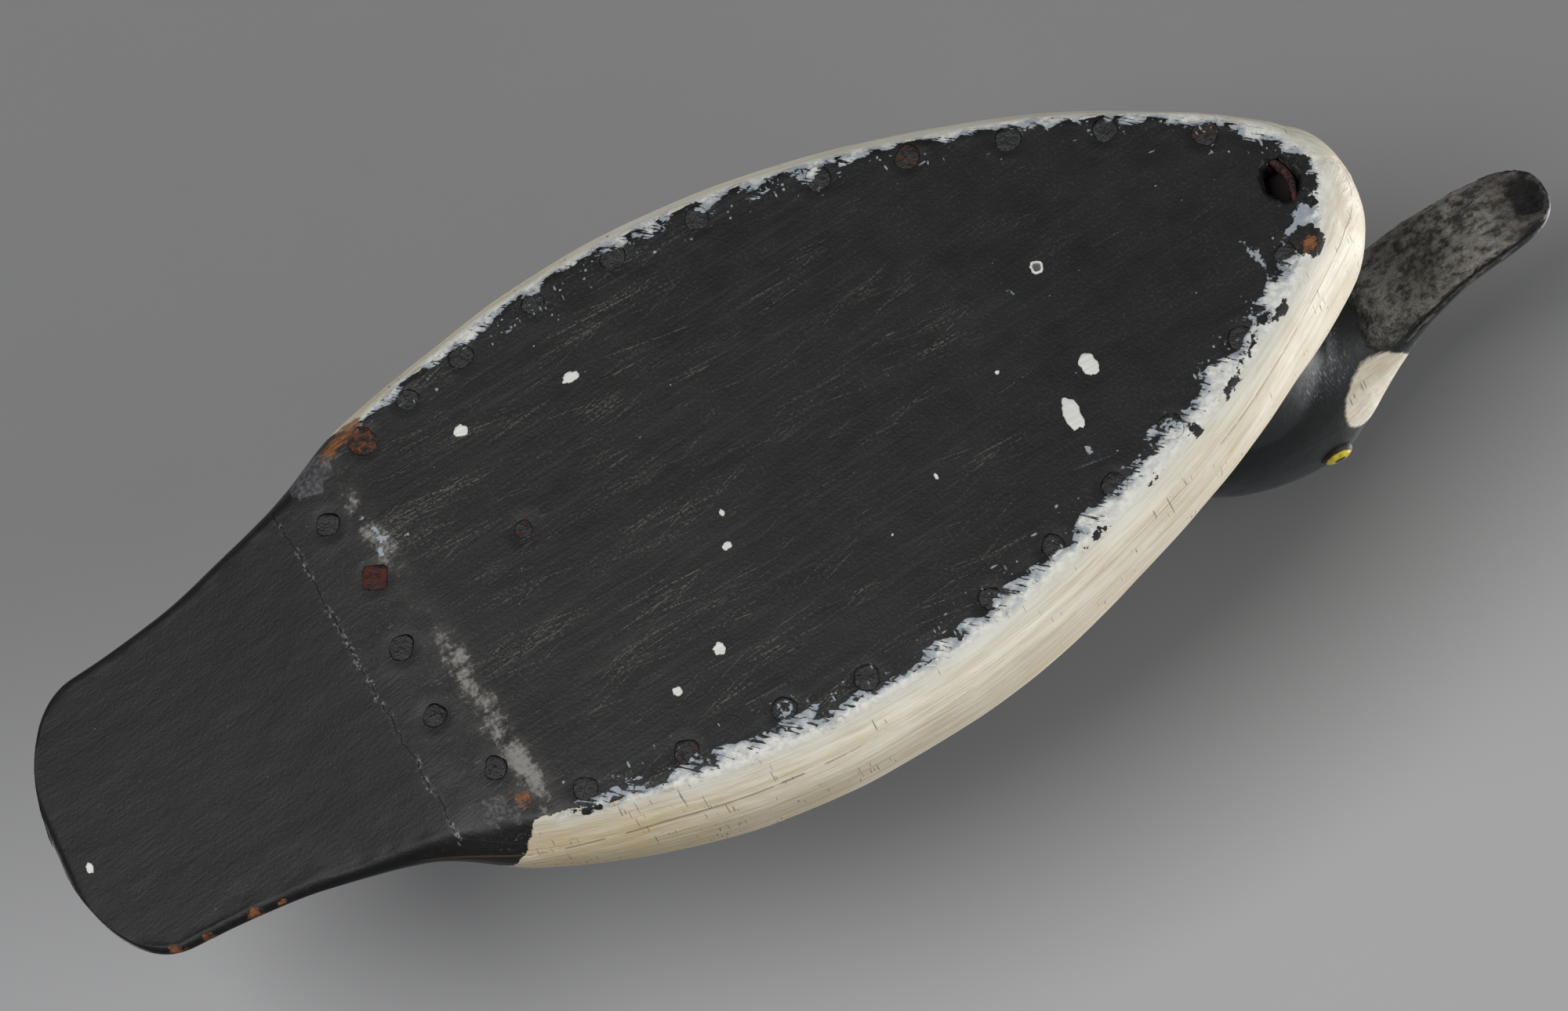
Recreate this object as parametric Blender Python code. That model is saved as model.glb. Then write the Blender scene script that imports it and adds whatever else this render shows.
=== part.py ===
"""Hollow wooden duck decoy of the goldeneye kind, as its separate pieces.

+X is forward, +Y is the duck's left, +Z is up, and the flat underside lies at Z = 0.
Lengths are in millimetres, and new_object() turns them into Blender's metres.
"""
import math

import bmesh
import bpy
from mathutils import Matrix, Vector

MM = 0.001

# ---- Driving dimensions ----------------------------------------------------------------------
TAIL_END_X = -197.5           # aft edge of the tail paddle
TAIL_CORNER = 22.0            # length over which its corners are rounded
BREAST_X = 148.5              # foremost point of the breast
BREAST_Z = 20.0               # height of that point
FLAT_FRONT_X = 140.0          # where the flat underside ends under the breast
RIDGE_X = -91.5               # behind this ridge the underside is planed upwards
SEAM_X = -109.5               # where the bottom board feathers out against the tail

BOARD_THICKNESS = 8.0         # of the bottom board, ahead of its bevelled end
BOARD_BEVEL_X = -62.0         # where the board's upper face starts down to the seam
FEATHER = 0.7                 # thickness left at the board's feathered end
GAP = 0.3                     # between pieces that touch

WALL = 17.0                   # wood left beside the hollow
ROOF = 16.0                   # wood left above it
CAVITY_BACK_X = -50.0
CAVITY_FRONT_X = 100.0
CAVITY_ROOF_MOST = 48.0       # keeps solid wood under the neck

NECK_X = 106.5                # centre of the neck seat
NECK_HALF_LENGTH = 25.5
NECK_HALF_WIDTH = 20.0
SEAT_Z = 62.0                 # floor of the seat that the neck is let into

SCREW_X = 94.0                # wood screw that holds the head, driven up from the hollow
SCREW_RADIUS = 2.4
SCREW_HEAD_RADIUS = 4.6
SCREW_HEAD_HEIGHT = 2.8
SCREW_LENGTH = 42.0

EYE_X = 124.0
EYE_Z = 121.5
EYE_RADIUS = 4.3              # dome of the painted tack eye
EYE_DOME = 2.8
EYE_SEAT = 1.0                # how deep the dome's flat back is let into the head
EYE_SHANK_RADIUS = 1.1
EYE_SHANK_LENGTH = 11.0
EYE_PITCH = math.radians(6)   # the eyes look slightly up

NAIL_HEAD_RADIUS = 3.2
NAIL_HEAD_THICKNESS = 1.1
NAIL_SHANK_RADIUS = 1.3
NAIL_LENGTH = 22.0
NAIL_SIDES = 8
NAIL_SINK = 0.3               # how far the heads are set below the painted face

TIE_X = 132.5                 # wire staple for the anchor line
TIE_HALF_SPAN = 7.2
TIE_WIRE_RADIUS = 1.1
TIE_LEG_LENGTH = 15.0
TIE_SINK = 0.4                # the wire lies this far inside the underside
POCKET_X = 130.3              # carved pocket that the line passes through
POCKET_HALF_LENGTH = 7.2
POCKET_HALF_WIDTH = 5.8

# Nails along the rim: place along the body, and distance in from the edge of the flat underside.
LEFT_RIM_NAILS = [(-77, 4.5), (-52.5, 6.5), (-28, 7.5), (-8, 5), (25.5, 4.2),
                  (44, 4.2), (63, 4.5), (81, 4.2), (105, 4.5), (124, 5)]
RIGHT_RIM_NAILS = [(-88, 5), (-74, 4.5), (-58, 4.5), (-37, 4.2), (-15, 4.2), (7, 4.2),
                   (37, 4.5), (58, 4.2), (81, 4.2), (102, 4.2), (122, 4.5)]
# Nails in the cross row behind the ridge, and one stray nail: place along and across.
CROSS_NAILS = [(-93.5, 39), (-101, 20), (-101, 1), (-99.5, -18), (-104, -36), (-63, -11)]


# ---- Smooth curves through a few design points -----------------------------------------------
def curve_through(points):
    """Smooth curve through (place, value) points that never overshoots them."""
    places = [p[0] for p in points]
    values = [p[1] for p in points]
    last = len(points) - 1
    steps = [places[i + 1] - places[i] for i in range(last)]
    slopes = [(values[i + 1] - values[i]) / steps[i] for i in range(last)]
    tangents = [slopes[0]]
    for before, after in zip(slopes, slopes[1:]):
        tangents.append(0.0 if before * after <= 0 else 2 * before * after / (before + after))
    tangents.append(slopes[-1])

    def value_at(place):
        place = min(max(place, places[0]), places[-1])
        i = next(k for k in range(last) if place <= places[k + 1])
        u = (place - places[i]) / steps[i]
        ends = values[i] * (2 * u ** 3 - 3 * u ** 2 + 1) + values[i + 1] * (3 * u ** 2 - 2 * u ** 3)
        bends = tangents[i] * (u ** 3 - 2 * u ** 2 + u) + tangents[i + 1] * (u ** 3 - u ** 2)
        return ends + bends * steps[i]

    return value_at


def round_nosed(nose_x, points):
    """Smooth curve through (x, value) points, given from the nose backwards, blunt at nose_x."""
    curve = curve_through([(math.sqrt(nose_x - x), value) for x, value in points])
    return lambda x: curve(math.sqrt(max(0.0, nose_x - x)))


# Half width of the flat underside.
flat_half_width = round_nosed(FLAT_FRONT_X, [
    (140, 0), (139, 4.6), (137, 9), (133, 14), (127, 20), (118, 27), (106, 34.6), (88, 43.4),
    (60, 53.8), (33, 61.6), (5, 66.2), (-18, 67.3), (-40, 66), (-68, 60.8), (-95, 53.4),
    (-111, 47), (-133, 42.6), (-151, 39.2), (-175, 37.2), (-197.5, 36.6)])
# Half width at the widest line of the flank.
wide_half_width = round_nosed(BREAST_X, [
    (148.5, 0), (147.5, 8), (143, 15.8), (133, 23.4), (118, 33.6), (88, 51.6), (60, 62.4), (33, 70.2),
    (5, 74.7), (-18, 75.8), (-40, 74.3), (-68, 68.8), (-95, 60.4), (-111, 51.6), (-118, 48.4),
    (-133, 44.2), (-151, 40.2), (-175, 37.8), (-197.5, 37)])
# Height of the back, down over the breast to its foremost point.
back_height = round_nosed(BREAST_X, [
    (148.5, 20), (148, 30), (145.5, 43), (140.5, 56), (132, 66.5), (121, 72.5), (100, 75.5), (60, 77),
    (10, 78.5), (-35, 76.5), (-75, 68), (-105, 55.5), (-130, 42), (-155, 31.5), (-180, 25.5),
    (-197.5, 21.5)])
# Height of the widest line above the underside.
wide_height = curve_through([
    (-197.5, 2.2), (-150, 3), (-118, 5), (-95, 12), (-60, 17), (40, 17), (120, 16), (148.5, 20)])
# Roundness of the section above that line: 2 is an ellipse, less is leaner.
fullness = curve_through([
    (-197.5, 1.3), (-150, 1.35), (-120, 1.55), (-85, 1.85), (-40, 2.0), (20, 2.0), (85, 1.65),
    (125, 1.8), (148.5, 2.0)])
# Shape of the flank below the widest line: 1 is a flat curve, 0.5 a quarter of an ellipse.
flank_power = curve_through([(-197.5, 1.0), (95, 1.0), (138, 0.5), (148.5, 0.5)])
# Height of the underside behind the ridge.
planed_rise = curve_through([(-197.5, 15.6), (-170, 12.6), (-140, 8.4), (-109.5, 2.6), (-91.5, 0)])


def underside(x):
    """Height of the underside, which turns up under the nose of the breast."""
    if x < RIDGE_X:
        return planed_rise(x)
    reach = min(1.0, max(0.0, (x - FLAT_FRONT_X) / (BREAST_X - FLAT_FRONT_X)))
    return BREAST_Z * (1 - math.sqrt(1 - reach ** 2))


def tail_rounding(x):
    """Factor that narrows the tail paddle to its rounded corners."""
    reach = min(1.0, (x - TAIL_END_X) / TAIL_CORNER)
    return math.sqrt(max(0.0, 1 - (1 - reach) ** 2.3))


def body_section(x):
    """Ring of (y, z) points round the body at x, starting at the middle of the underside."""
    low = underside(x)
    high = back_height(x)
    wide = wide_half_width(x) * tail_rounding(x)
    flat = max(flat_half_width(x) * tail_rounding(x), 0.1 * wide)
    middle = min(low + wide_height(x), 0.5 * (low + high)) if x < FLAT_FRONT_X else BREAST_Z
    half = [(0.0, low), (0.5 * flat, low), (flat, low)]
    flank_steps = 4
    for k in range(1, flank_steps + 1):
        u = k / flank_steps
        swell = (2 * u - u * u) ** flank_power(x)
        half.append((flat + (wide - flat) * swell, low + (middle - low) * u))
    power = 2 / fullness(x)
    back_steps = 10
    for k in range(1, back_steps):
        angle = math.radians(90) * k / back_steps
        half.append((wide * math.cos(angle) ** power, middle + (high - middle) * math.sin(angle) ** power))
    half.append((0.0, high))
    mirrored = [(-y, z) for y, z in reversed(half[1:-1])]
    return [Vector((x, y, z)) for y, z in half + mirrored]


def body_stations(count=40):
    """Places of the sections: closer together at the tail and the breast, and one at each crease."""
    places = []
    for k in range(count):
        t = k / (count - 1)
        even = 0.55 * t + 0.45 * (1 - math.cos(math.pi * t)) / 2
        places.append(TAIL_END_X + 0.15 + (BREAST_X - 0.05 - TAIL_END_X - 0.15) * even)
    for crease in (RIDGE_X, FLAT_FRONT_X):
        nearest = min(range(count), key=lambda k: abs(places[k] - crease))
        places[nearest] = crease
    return places


# ---- Making objects --------------------------------------------------------------------------
def clear_scene():
    for item in list(bpy.data.objects):
        bpy.data.objects.remove(item, do_unlink=True)


def new_object(name, mesh_builder, material=None, sharp_degrees=35):
    """An object from a filled bmesh in millimetres, with outward faces, shaded smooth."""
    bmesh.ops.scale(mesh_builder, vec=(MM, MM, MM), verts=mesh_builder.verts)
    bmesh.ops.recalc_face_normals(mesh_builder, faces=mesh_builder.faces)
    mesh = bpy.data.meshes.new(name)
    mesh_builder.to_mesh(mesh)
    mesh_builder.free()
    mesh.shade_smooth()
    mesh.set_sharp_from_angle(angle=math.radians(sharp_degrees))
    item = bpy.data.objects.new(name, mesh)
    bpy.context.scene.collection.objects.link(item)
    if material:
        mesh.materials.append(material)
    return item


def painted(name, colour, roughness, metallic=0.0):
    material = bpy.data.materials.new(name)
    material.use_nodes = True
    shader = material.node_tree.nodes["Principled BSDF"]
    shader.inputs["Base Color"].default_value = (*colour, 1)
    shader.inputs["Roughness"].default_value = roughness
    shader.inputs["Metallic"].default_value = metallic
    return material


def loft(rings):
    """A closed bmesh through rings of points, with flat ends."""
    result = bmesh.new()
    rows = [[result.verts.new(point) for point in ring] for ring in rings]
    size = len(rows[0])
    for row, following in zip(rows, rows[1:]):
        for k in range(size):
            after = (k + 1) % size
            result.faces.new((row[k], row[after], following[after], following[k]))
    result.faces.new(rows[0])
    result.faces.new(rows[-1])
    return result


def turned(profile, sides):
    """A closed bmesh turned round Z from (radius, z) points; a radius of 0 closes the end."""
    result = bmesh.new()
    rows = []
    for radius, z in profile:
        if radius == 0:
            rows.append([result.verts.new((0, 0, z))])
            continue
        angles = [2 * math.pi * k / sides for k in range(sides)]
        rows.append([result.verts.new((radius * math.cos(a), radius * math.sin(a), z)) for a in angles])
    for row, following in zip(rows, rows[1:]):
        for k in range(sides):
            after = (k + 1) % sides
            corners = [row[k % len(row)], row[after % len(row)]]
            corners += [following[after % len(following)], following[k % len(following)]]
            result.faces.new(list(dict.fromkeys(corners)))
    return result


def oval_cylinder(centre, half_length, half_width, low, high, sides=24):
    """A closed upright bmesh of oval section."""
    def ring(z):
        angles = [2 * math.pi * k / sides for k in range(sides)]
        return [Vector((centre + half_length * math.cos(a), half_width * math.sin(a), z)) for a in angles]
    return loft([ring(low), ring(high)])


def prism(outline, half_width):
    """A closed bmesh of an (x, z) outline, extruded across the body."""
    return loft([[Vector((x, side, z)) for x, z in outline] for side in (-half_width, half_width)])


def as_cutter(item):
    item.hide_render = True
    item.display_type = "WIRE"
    return item


def boolean(item, other, operation):
    """Adds a Boolean modifier; the other object is only its cutter."""
    step = item.modifiers.new(other.name, "BOOLEAN")
    step.operation = operation
    step.solver = "EXACT"
    step.object = as_cutter(other)


def join_meshes(builders):
    """One bmesh that holds several separate closed meshes."""
    result = bmesh.new()
    for builder in builders:
        scratch = bpy.data.meshes.new("scratch")
        builder.to_mesh(scratch)
        builder.free()
        result.from_mesh(scratch)
        bpy.data.meshes.remove(scratch)
    return result


# ---- Body shell and bottom board -------------------------------------------------------------
def joint_outline(clearance):
    """Side view of the space that the bottom board fills; clearance opens or closes it."""
    far = 40.0
    seam_z = underside(SEAM_X) + FEATHER
    return [
        (SEAM_X - clearance, -far),
        (SEAM_X - clearance, seam_z + clearance),
        (BOARD_BEVEL_X, BOARD_THICKNESS + clearance),
        (BREAST_X + far, BOARD_THICKNESS + clearance),
        (BREAST_X + far, -far)]


def cavity():
    """The hollow: a rounded chamber that follows the body and is open below."""
    rings = []
    count = 15
    for k in range(count):
        t = k / (count - 1)
        x = CAVITY_BACK_X + (CAVITY_FRONT_X - CAVITY_BACK_X) * (1 - math.cos(math.pi * t)) / 2
        ends = max(0.25, (1 - abs(2 * t - 1) ** 5) ** 0.5)
        half = (wide_half_width(x) - WALL) * ends
        high = min(back_height(x) - ROOF, CAVITY_ROOF_MOST + max(0.0, 70 - x) * 0.3) * (0.55 + 0.45 * ends)
        ring = [(half, -5.0)]
        for step in range(9):
            angle = math.pi * step / 8
            power = 0.75
            y = half * math.copysign(abs(math.cos(angle)) ** power, math.cos(angle))
            ring.append((y, 14 + (high - 14) * math.sin(angle) ** power))
        ring.append((-half, -5.0))
        rings.append([Vector((x, y, z)) for y, z in ring])
    return loft(rings)


def nail_places():
    """Name and (x, y) of each nail."""
    places = []
    for side, row, sign in (("left", LEFT_RIM_NAILS, 1), ("right", RIGHT_RIM_NAILS, -1)):
        for number, (x, inset) in enumerate(row, start=1):
            places.append((f"nail_{side}_{number:02d}", x, sign * (flat_half_width(x) - inset)))
    for number, (x, y) in enumerate(CROSS_NAILS, start=1):
        places.append((f"nail_cross_{number:02d}", x, y))
    return places


def nail_mesh(clearance=0.0):
    """A flat-headed nail, head down, with its point up in the wood."""
    head = NAIL_HEAD_RADIUS + clearance
    shank = NAIL_SHANK_RADIUS + clearance
    low = NAIL_SINK if clearance == 0 else -2.0
    under_head = NAIL_SINK + NAIL_HEAD_THICKNESS + clearance
    tip = NAIL_SINK + NAIL_LENGTH + clearance
    profile = [(0, low), (head, low), (head, under_head), (shank, under_head),
               (shank, tip - 4), (0, tip)]
    return turned(profile, NAIL_SIDES)


def placed(builder, x, y, z=0.0):
    bmesh.ops.translate(builder, vec=(x, y, z), verts=builder.verts)
    return builder


def staple_path():
    """Centre line of the staple: up one leg, across the pocket and down the other leg."""
    corner = 2.6
    bar_z = TIE_SINK + TIE_WIRE_RADIUS
    points = [Vector((TIE_X, -TIE_HALF_SPAN, bar_z + TIE_LEG_LENGTH))]
    for k in range(5):
        angle = math.radians(90) * k / 4
        points.append(Vector((TIE_X, -TIE_HALF_SPAN + corner * (1 - math.cos(angle)),
                              bar_z + corner * (1 - math.sin(angle)))))
    mirrored = [Vector((p.x, -p.y, p.z)) for p in reversed(points)]
    return points + mirrored


def tube(path, radius, sides):
    """A closed bmesh round a path that lies in a plane of constant x."""
    rings = []
    for k, point in enumerate(path):
        before = path[max(0, k - 1)]
        after = path[min(len(path) - 1, k + 1)]
        along = (after - before).normalized()
        across = Vector((1, 0, 0))
        third = along.cross(across)
        ring = []
        for step in range(sides):
            angle = 2 * math.pi * step / sides
            ring.append(point + radius * (math.cos(angle) * across + math.sin(angle) * third))
        rings.append(ring)
    return loft(rings)


# ---- Head ------------------------------------------------------------------------------------
# Sections of the head and bill: x, lowest z, highest z, half width, roundness.
HEAD_SECTIONS = [
    (80.5, 114, 121, 3.0, 2.0), (82, 110, 126, 7.5, 2.0), (86, 102.5, 132.5, 12.6, 2.05),
    (92, 97, 137, 16.4, 2.1), (100, 92, 141, 19.4, 2.2), (109, 88.5, 143.5, 21.3, 2.2),
    (118, 86.5, 144, 21.9, 2.2), (126, 86, 142, 21.4, 2.2), (134, 86.5, 136, 19.4, 2.15),
    (141, 87, 127, 16.8, 2.1), (147, 86.8, 117.5, 14.8, 2.1), (152, 86, 109.5, 13.6, 2.1),
    (158, 84, 101.5, 12.7, 2.1), (165, 81.2, 94.5, 12.0, 2.1), (173, 78.8, 90, 11.4, 2.2),
    (181, 77.4, 88, 10.8, 2.4), (188, 77.2, 85.8, 10.0, 2.6), (193, 77.8, 84.6, 8.3, 2.6),
    (196, 78.8, 83.6, 5.6, 2.4), (197.4, 79.9, 82.5, 2.4, 2.0)]
# Sections of the neck: z, centre x, half length, half width.
NECK_SECTIONS = [
    (SEAT_Z + GAP, 106.5, 25.2, 19.7), (70, 107, 24.6, 18.8), (78, 108.6, 23.6, 17.8),
    (88, 110.4, 23.2, 17.2), (100, 112, 21, 15.5), (112, 113, 17, 12)]


def head_mesh():
    """Head and bill, lofted from the nape to the tip of the bill."""
    sides = 24
    columns = list(zip(*HEAD_SECTIONS))
    places = columns[0]
    low, high, half, roundness = [curve_through(list(zip(places, column))) for column in columns[1:]]
    rings = []
    for x in places[:3] + tuple(88 + 4.5 * k for k in range(23)) + places[-4:]:
        ring = []
        middle = 0.5 * (low(x) + high(x))
        rise = 0.5 * (high(x) - low(x))
        power = 2 / roundness(x)
        for k in range(sides):
            angle = 2 * math.pi * (k + 0.5) / sides
            y = half(x) * math.copysign(abs(math.cos(angle)) ** power, math.cos(angle))
            z = middle + rise * math.copysign(abs(math.sin(angle)) ** power, math.sin(angle))
            ring.append(Vector((x, y, z)))
        rings.append(ring)
    return loft(rings), half


def neck_mesh():
    sides = 24
    rings = []
    for z, centre, half_length, half_width in NECK_SECTIONS:
        angles = [2 * math.pi * k / sides for k in range(sides)]
        rings.append([Vector((centre + half_length * math.cos(a), half_width * math.sin(a), z))
                      for a in angles])
    return loft(rings)


def eye_mesh(clearance=0.0):
    """A tack: a domed head on a pointed shank, dome towards +Z."""
    radius = EYE_RADIUS + clearance
    shank = EYE_SHANK_RADIUS + clearance
    profile = [(0, -EYE_SHANK_LENGTH - clearance), (shank, 3 - EYE_SHANK_LENGTH), (shank, -clearance),
               (radius, -clearance), (radius, 0.35)]
    if clearance:
        profile += [(radius, 8), (0, 8)]
    else:
        for angle in (70, 50, 28):
            lift = math.cos(math.radians(angle))
            profile.append((radius * math.sin(math.radians(angle)), 0.35 + (EYE_DOME - 0.35) * lift))
        profile.append((0, EYE_DOME))
    return turned(profile, 20)


def eye_placing(side, seat_y):
    """Matrix that turns a tack's +Z outwards on one side of the head."""
    turn = Matrix.Rotation(-side * (math.radians(90) - EYE_PITCH), 4, "X")
    return Matrix.Translation((EYE_X, side * seat_y, EYE_Z)) @ turn


# ---- Assembly --------------------------------------------------------------------------------
def build():
    clear_scene()
    cream = painted("cream_paint", (0.76, 0.70, 0.56), 0.5)
    black = painted("black_paint", (0.018, 0.018, 0.02), 0.45)
    head_paint = painted("head_paint", (0.012, 0.02, 0.022), 0.4)
    eye_paint = painted("eye_enamel", (0.72, 0.55, 0.02), 0.2)
    old_iron = painted("old_iron", (0.09, 0.05, 0.035), 0.65, 0.6)
    steel = painted("screw_steel", (0.32, 0.31, 0.29), 0.45, 0.9)

    rings = [body_section(x) for x in body_stations()]
    shell = new_object("body_shell", loft(rings), cream)
    board = new_object("bottom_board", loft(rings), black)
    boolean(shell, new_object("space_for_board", prism(joint_outline(GAP / 2), 120)), "DIFFERENCE")
    boolean(board, new_object("space_in_board", prism(joint_outline(-GAP / 2), 120)), "INTERSECT")
    boolean(shell, new_object("space_hollow", cavity()), "DIFFERENCE")
    seat = oval_cylinder(NECK_X, NECK_HALF_LENGTH, NECK_HALF_WIDTH, SEAT_Z, 140)
    boolean(shell, new_object("space_for_neck", seat), "DIFFERENCE")
    pocket = oval_cylinder(POCKET_X, POCKET_HALF_LENGTH, POCKET_HALF_WIDTH, -5, BOARD_THICKNESS + 5, 20)
    boolean(board, new_object("space_for_pocket", pocket), "DIFFERENCE")

    nail_spaces = []
    for name, x, y in nail_places():
        new_object(name, placed(nail_mesh(), x, y, underside(x)), old_iron)
        nail_spaces.append(placed(nail_mesh(GAP), x, y, underside(x)))
    nails_space = new_object("space_for_nails", join_meshes(nail_spaces))
    boolean(shell, nails_space, "DIFFERENCE")
    boolean(board, nails_space, "DIFFERENCE")

    new_object("line_tie", tube(staple_path(), TIE_WIRE_RADIUS, 10), old_iron)
    tie_space = new_object("space_for_tie", tube(staple_path(), TIE_WIRE_RADIUS + GAP, 10))
    boolean(shell, tie_space, "DIFFERENCE")
    boolean(board, tie_space, "DIFFERENCE")

    head_builder, head_half_width = head_mesh()
    head = new_object("head", head_builder, head_paint)
    boolean(head, new_object("neck_block", neck_mesh()), "UNION")
    seat_y = head_half_width(EYE_X) - EYE_SEAT
    for name, side in (("eye_left", 1), ("eye_right", -1)):
        placing = eye_placing(side, seat_y)
        eye_builder = eye_mesh()
        bmesh.ops.transform(eye_builder, matrix=placing, verts=eye_builder.verts)
        new_object(name, eye_builder, eye_paint)
        space_builder = eye_mesh(GAP)
        bmesh.ops.transform(space_builder, matrix=placing, verts=space_builder.verts)
        boolean(head, new_object("space_for_" + name, space_builder), "DIFFERENCE")

    roof = CAVITY_ROOF_MOST
    screw_profile = [(0, roof - SCREW_HEAD_HEIGHT), (0.7 * SCREW_HEAD_RADIUS, roof - SCREW_HEAD_HEIGHT),
                     (SCREW_HEAD_RADIUS, roof - 1), (SCREW_HEAD_RADIUS, roof - GAP), (SCREW_RADIUS, roof - GAP),
                     (SCREW_RADIUS, roof + SCREW_LENGTH - 6), (0, roof + SCREW_LENGTH)]
    new_object("neck_screw", placed(turned(screw_profile, 16), SCREW_X, 0), steel)
    bore = SCREW_RADIUS + GAP
    bore_profile = [(0, 20), (SCREW_HEAD_RADIUS + 1, 20), (SCREW_HEAD_RADIUS + 1, roof), (bore, roof),
                    (bore, roof + SCREW_LENGTH - 5), (0, roof + SCREW_LENGTH + 1)]
    screw_space = new_object("space_for_screw", placed(turned(bore_profile, 16), SCREW_X, 0))
    boolean(shell, screw_space, "DIFFERENCE")
    boolean(head, screw_space, "DIFFERENCE")


build()
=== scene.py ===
# %% [markdown]
# # A hollow wooden duck decoy, seen from below
#
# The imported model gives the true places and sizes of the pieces. This script keeps them and
# makes the surface that a collector would see: carved wood, many coats of old paint, rusty nails.
# Lengths are in millimetres in the helpers, because a carver thinks in them, and MM turns them
# into Blender's metres. +X is forward, +Y is the duck's left, and the flat underside is at Z = 0.

# %% Load the frame
import math
import random

import bmesh
import bpy
import numpy as np
from mathutils import Matrix, Vector, kdtree, noise


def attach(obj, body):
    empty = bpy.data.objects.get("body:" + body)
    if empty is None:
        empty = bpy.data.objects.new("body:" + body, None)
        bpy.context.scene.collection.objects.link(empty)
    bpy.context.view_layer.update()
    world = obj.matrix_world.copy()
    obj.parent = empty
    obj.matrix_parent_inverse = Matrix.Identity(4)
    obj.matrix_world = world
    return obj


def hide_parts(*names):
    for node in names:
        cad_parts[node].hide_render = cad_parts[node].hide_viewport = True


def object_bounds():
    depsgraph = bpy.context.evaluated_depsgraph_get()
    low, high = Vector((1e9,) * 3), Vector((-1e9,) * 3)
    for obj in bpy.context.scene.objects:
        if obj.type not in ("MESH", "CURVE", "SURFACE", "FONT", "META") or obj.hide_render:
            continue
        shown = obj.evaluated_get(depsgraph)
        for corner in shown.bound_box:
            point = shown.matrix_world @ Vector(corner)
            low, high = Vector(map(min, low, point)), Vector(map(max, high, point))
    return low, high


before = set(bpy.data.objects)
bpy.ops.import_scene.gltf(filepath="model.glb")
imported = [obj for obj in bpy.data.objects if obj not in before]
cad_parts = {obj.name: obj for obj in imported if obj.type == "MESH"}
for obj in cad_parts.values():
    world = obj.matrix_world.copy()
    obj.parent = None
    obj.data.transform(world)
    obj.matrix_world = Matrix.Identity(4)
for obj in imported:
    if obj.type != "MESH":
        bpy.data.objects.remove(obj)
cad_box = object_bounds()
MM = 0.001
scene = bpy.context.scene
scene.view_settings.view_transform = "Standard"
print("nodes:", len(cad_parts), "CAD box:", [[round(v, 4) for v in corner] for corner in cad_box])

# %% [markdown]
# ## Camera and stage
#
# The decoy is looked at from below and a little from its left, so the camera stands under it.
# A horizontal backdrop lies just above the head, and the floor lies at Z = 0. Each of them is
# see-through from behind: the camera below sees only the backdrop, and any camera above sees
# only the floor. Neither of them blocks light, so the lights can stand on both sides.
# The backdrop's colour carries a painted fall-off of light, darker towards the duck's right and front and
# lighter towards its left and rear.

# %% Camera
CAMERA_ROLL = 23.0          # degrees that the view leans over to the duck's left
CAMERA_DISTANCE = 1200.0
LOOK_AT = Vector((-6.4, 12.43, 5.27))
LENS = 117.9

lean = math.radians(CAMERA_ROLL)
view_direction = Vector((0, -math.sin(lean), math.cos(lean)))
up_the_view = Vector((0, math.cos(lean), math.sin(lean)))
RIGHT_ALONG_X, RIGHT_ACROSS = 0.88524, 0.46513
camera_right = RIGHT_ALONG_X * Vector((1, 0, 0)) + RIGHT_ACROSS * up_the_view
camera_up = RIGHT_ACROSS * Vector((1, 0, 0)) - RIGHT_ALONG_X * up_the_view


def standing(place, right, up, backwards):
    """Matrix of a thing at a place in mm, whose local axes are right, up and backwards."""
    turn = Matrix((right, up, backwards)).transposed().to_4x4()
    return Matrix.Translation(place * MM) @ turn


camera = bpy.data.objects.new("camera", bpy.data.cameras.new("camera"))
camera.data.lens = LENS
camera.data.sensor_width = 36.0
camera.data.clip_end = 20.0
camera.matrix_world = standing(
    LOOK_AT - CAMERA_DISTANCE * view_direction, camera_right, camera_up, -view_direction)
scene.collection.objects.link(camera)
scene.camera = camera
print("camera at", [round(v, 3) for v in camera.location])


# %% [markdown]
# ## A small helper for shader nodes
#
# Node trees get long in Python. `Wires` adds a node, sets or links its inputs, and gives back
# one of its outputs, so that a material reads from top to bottom like a recipe.

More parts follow.
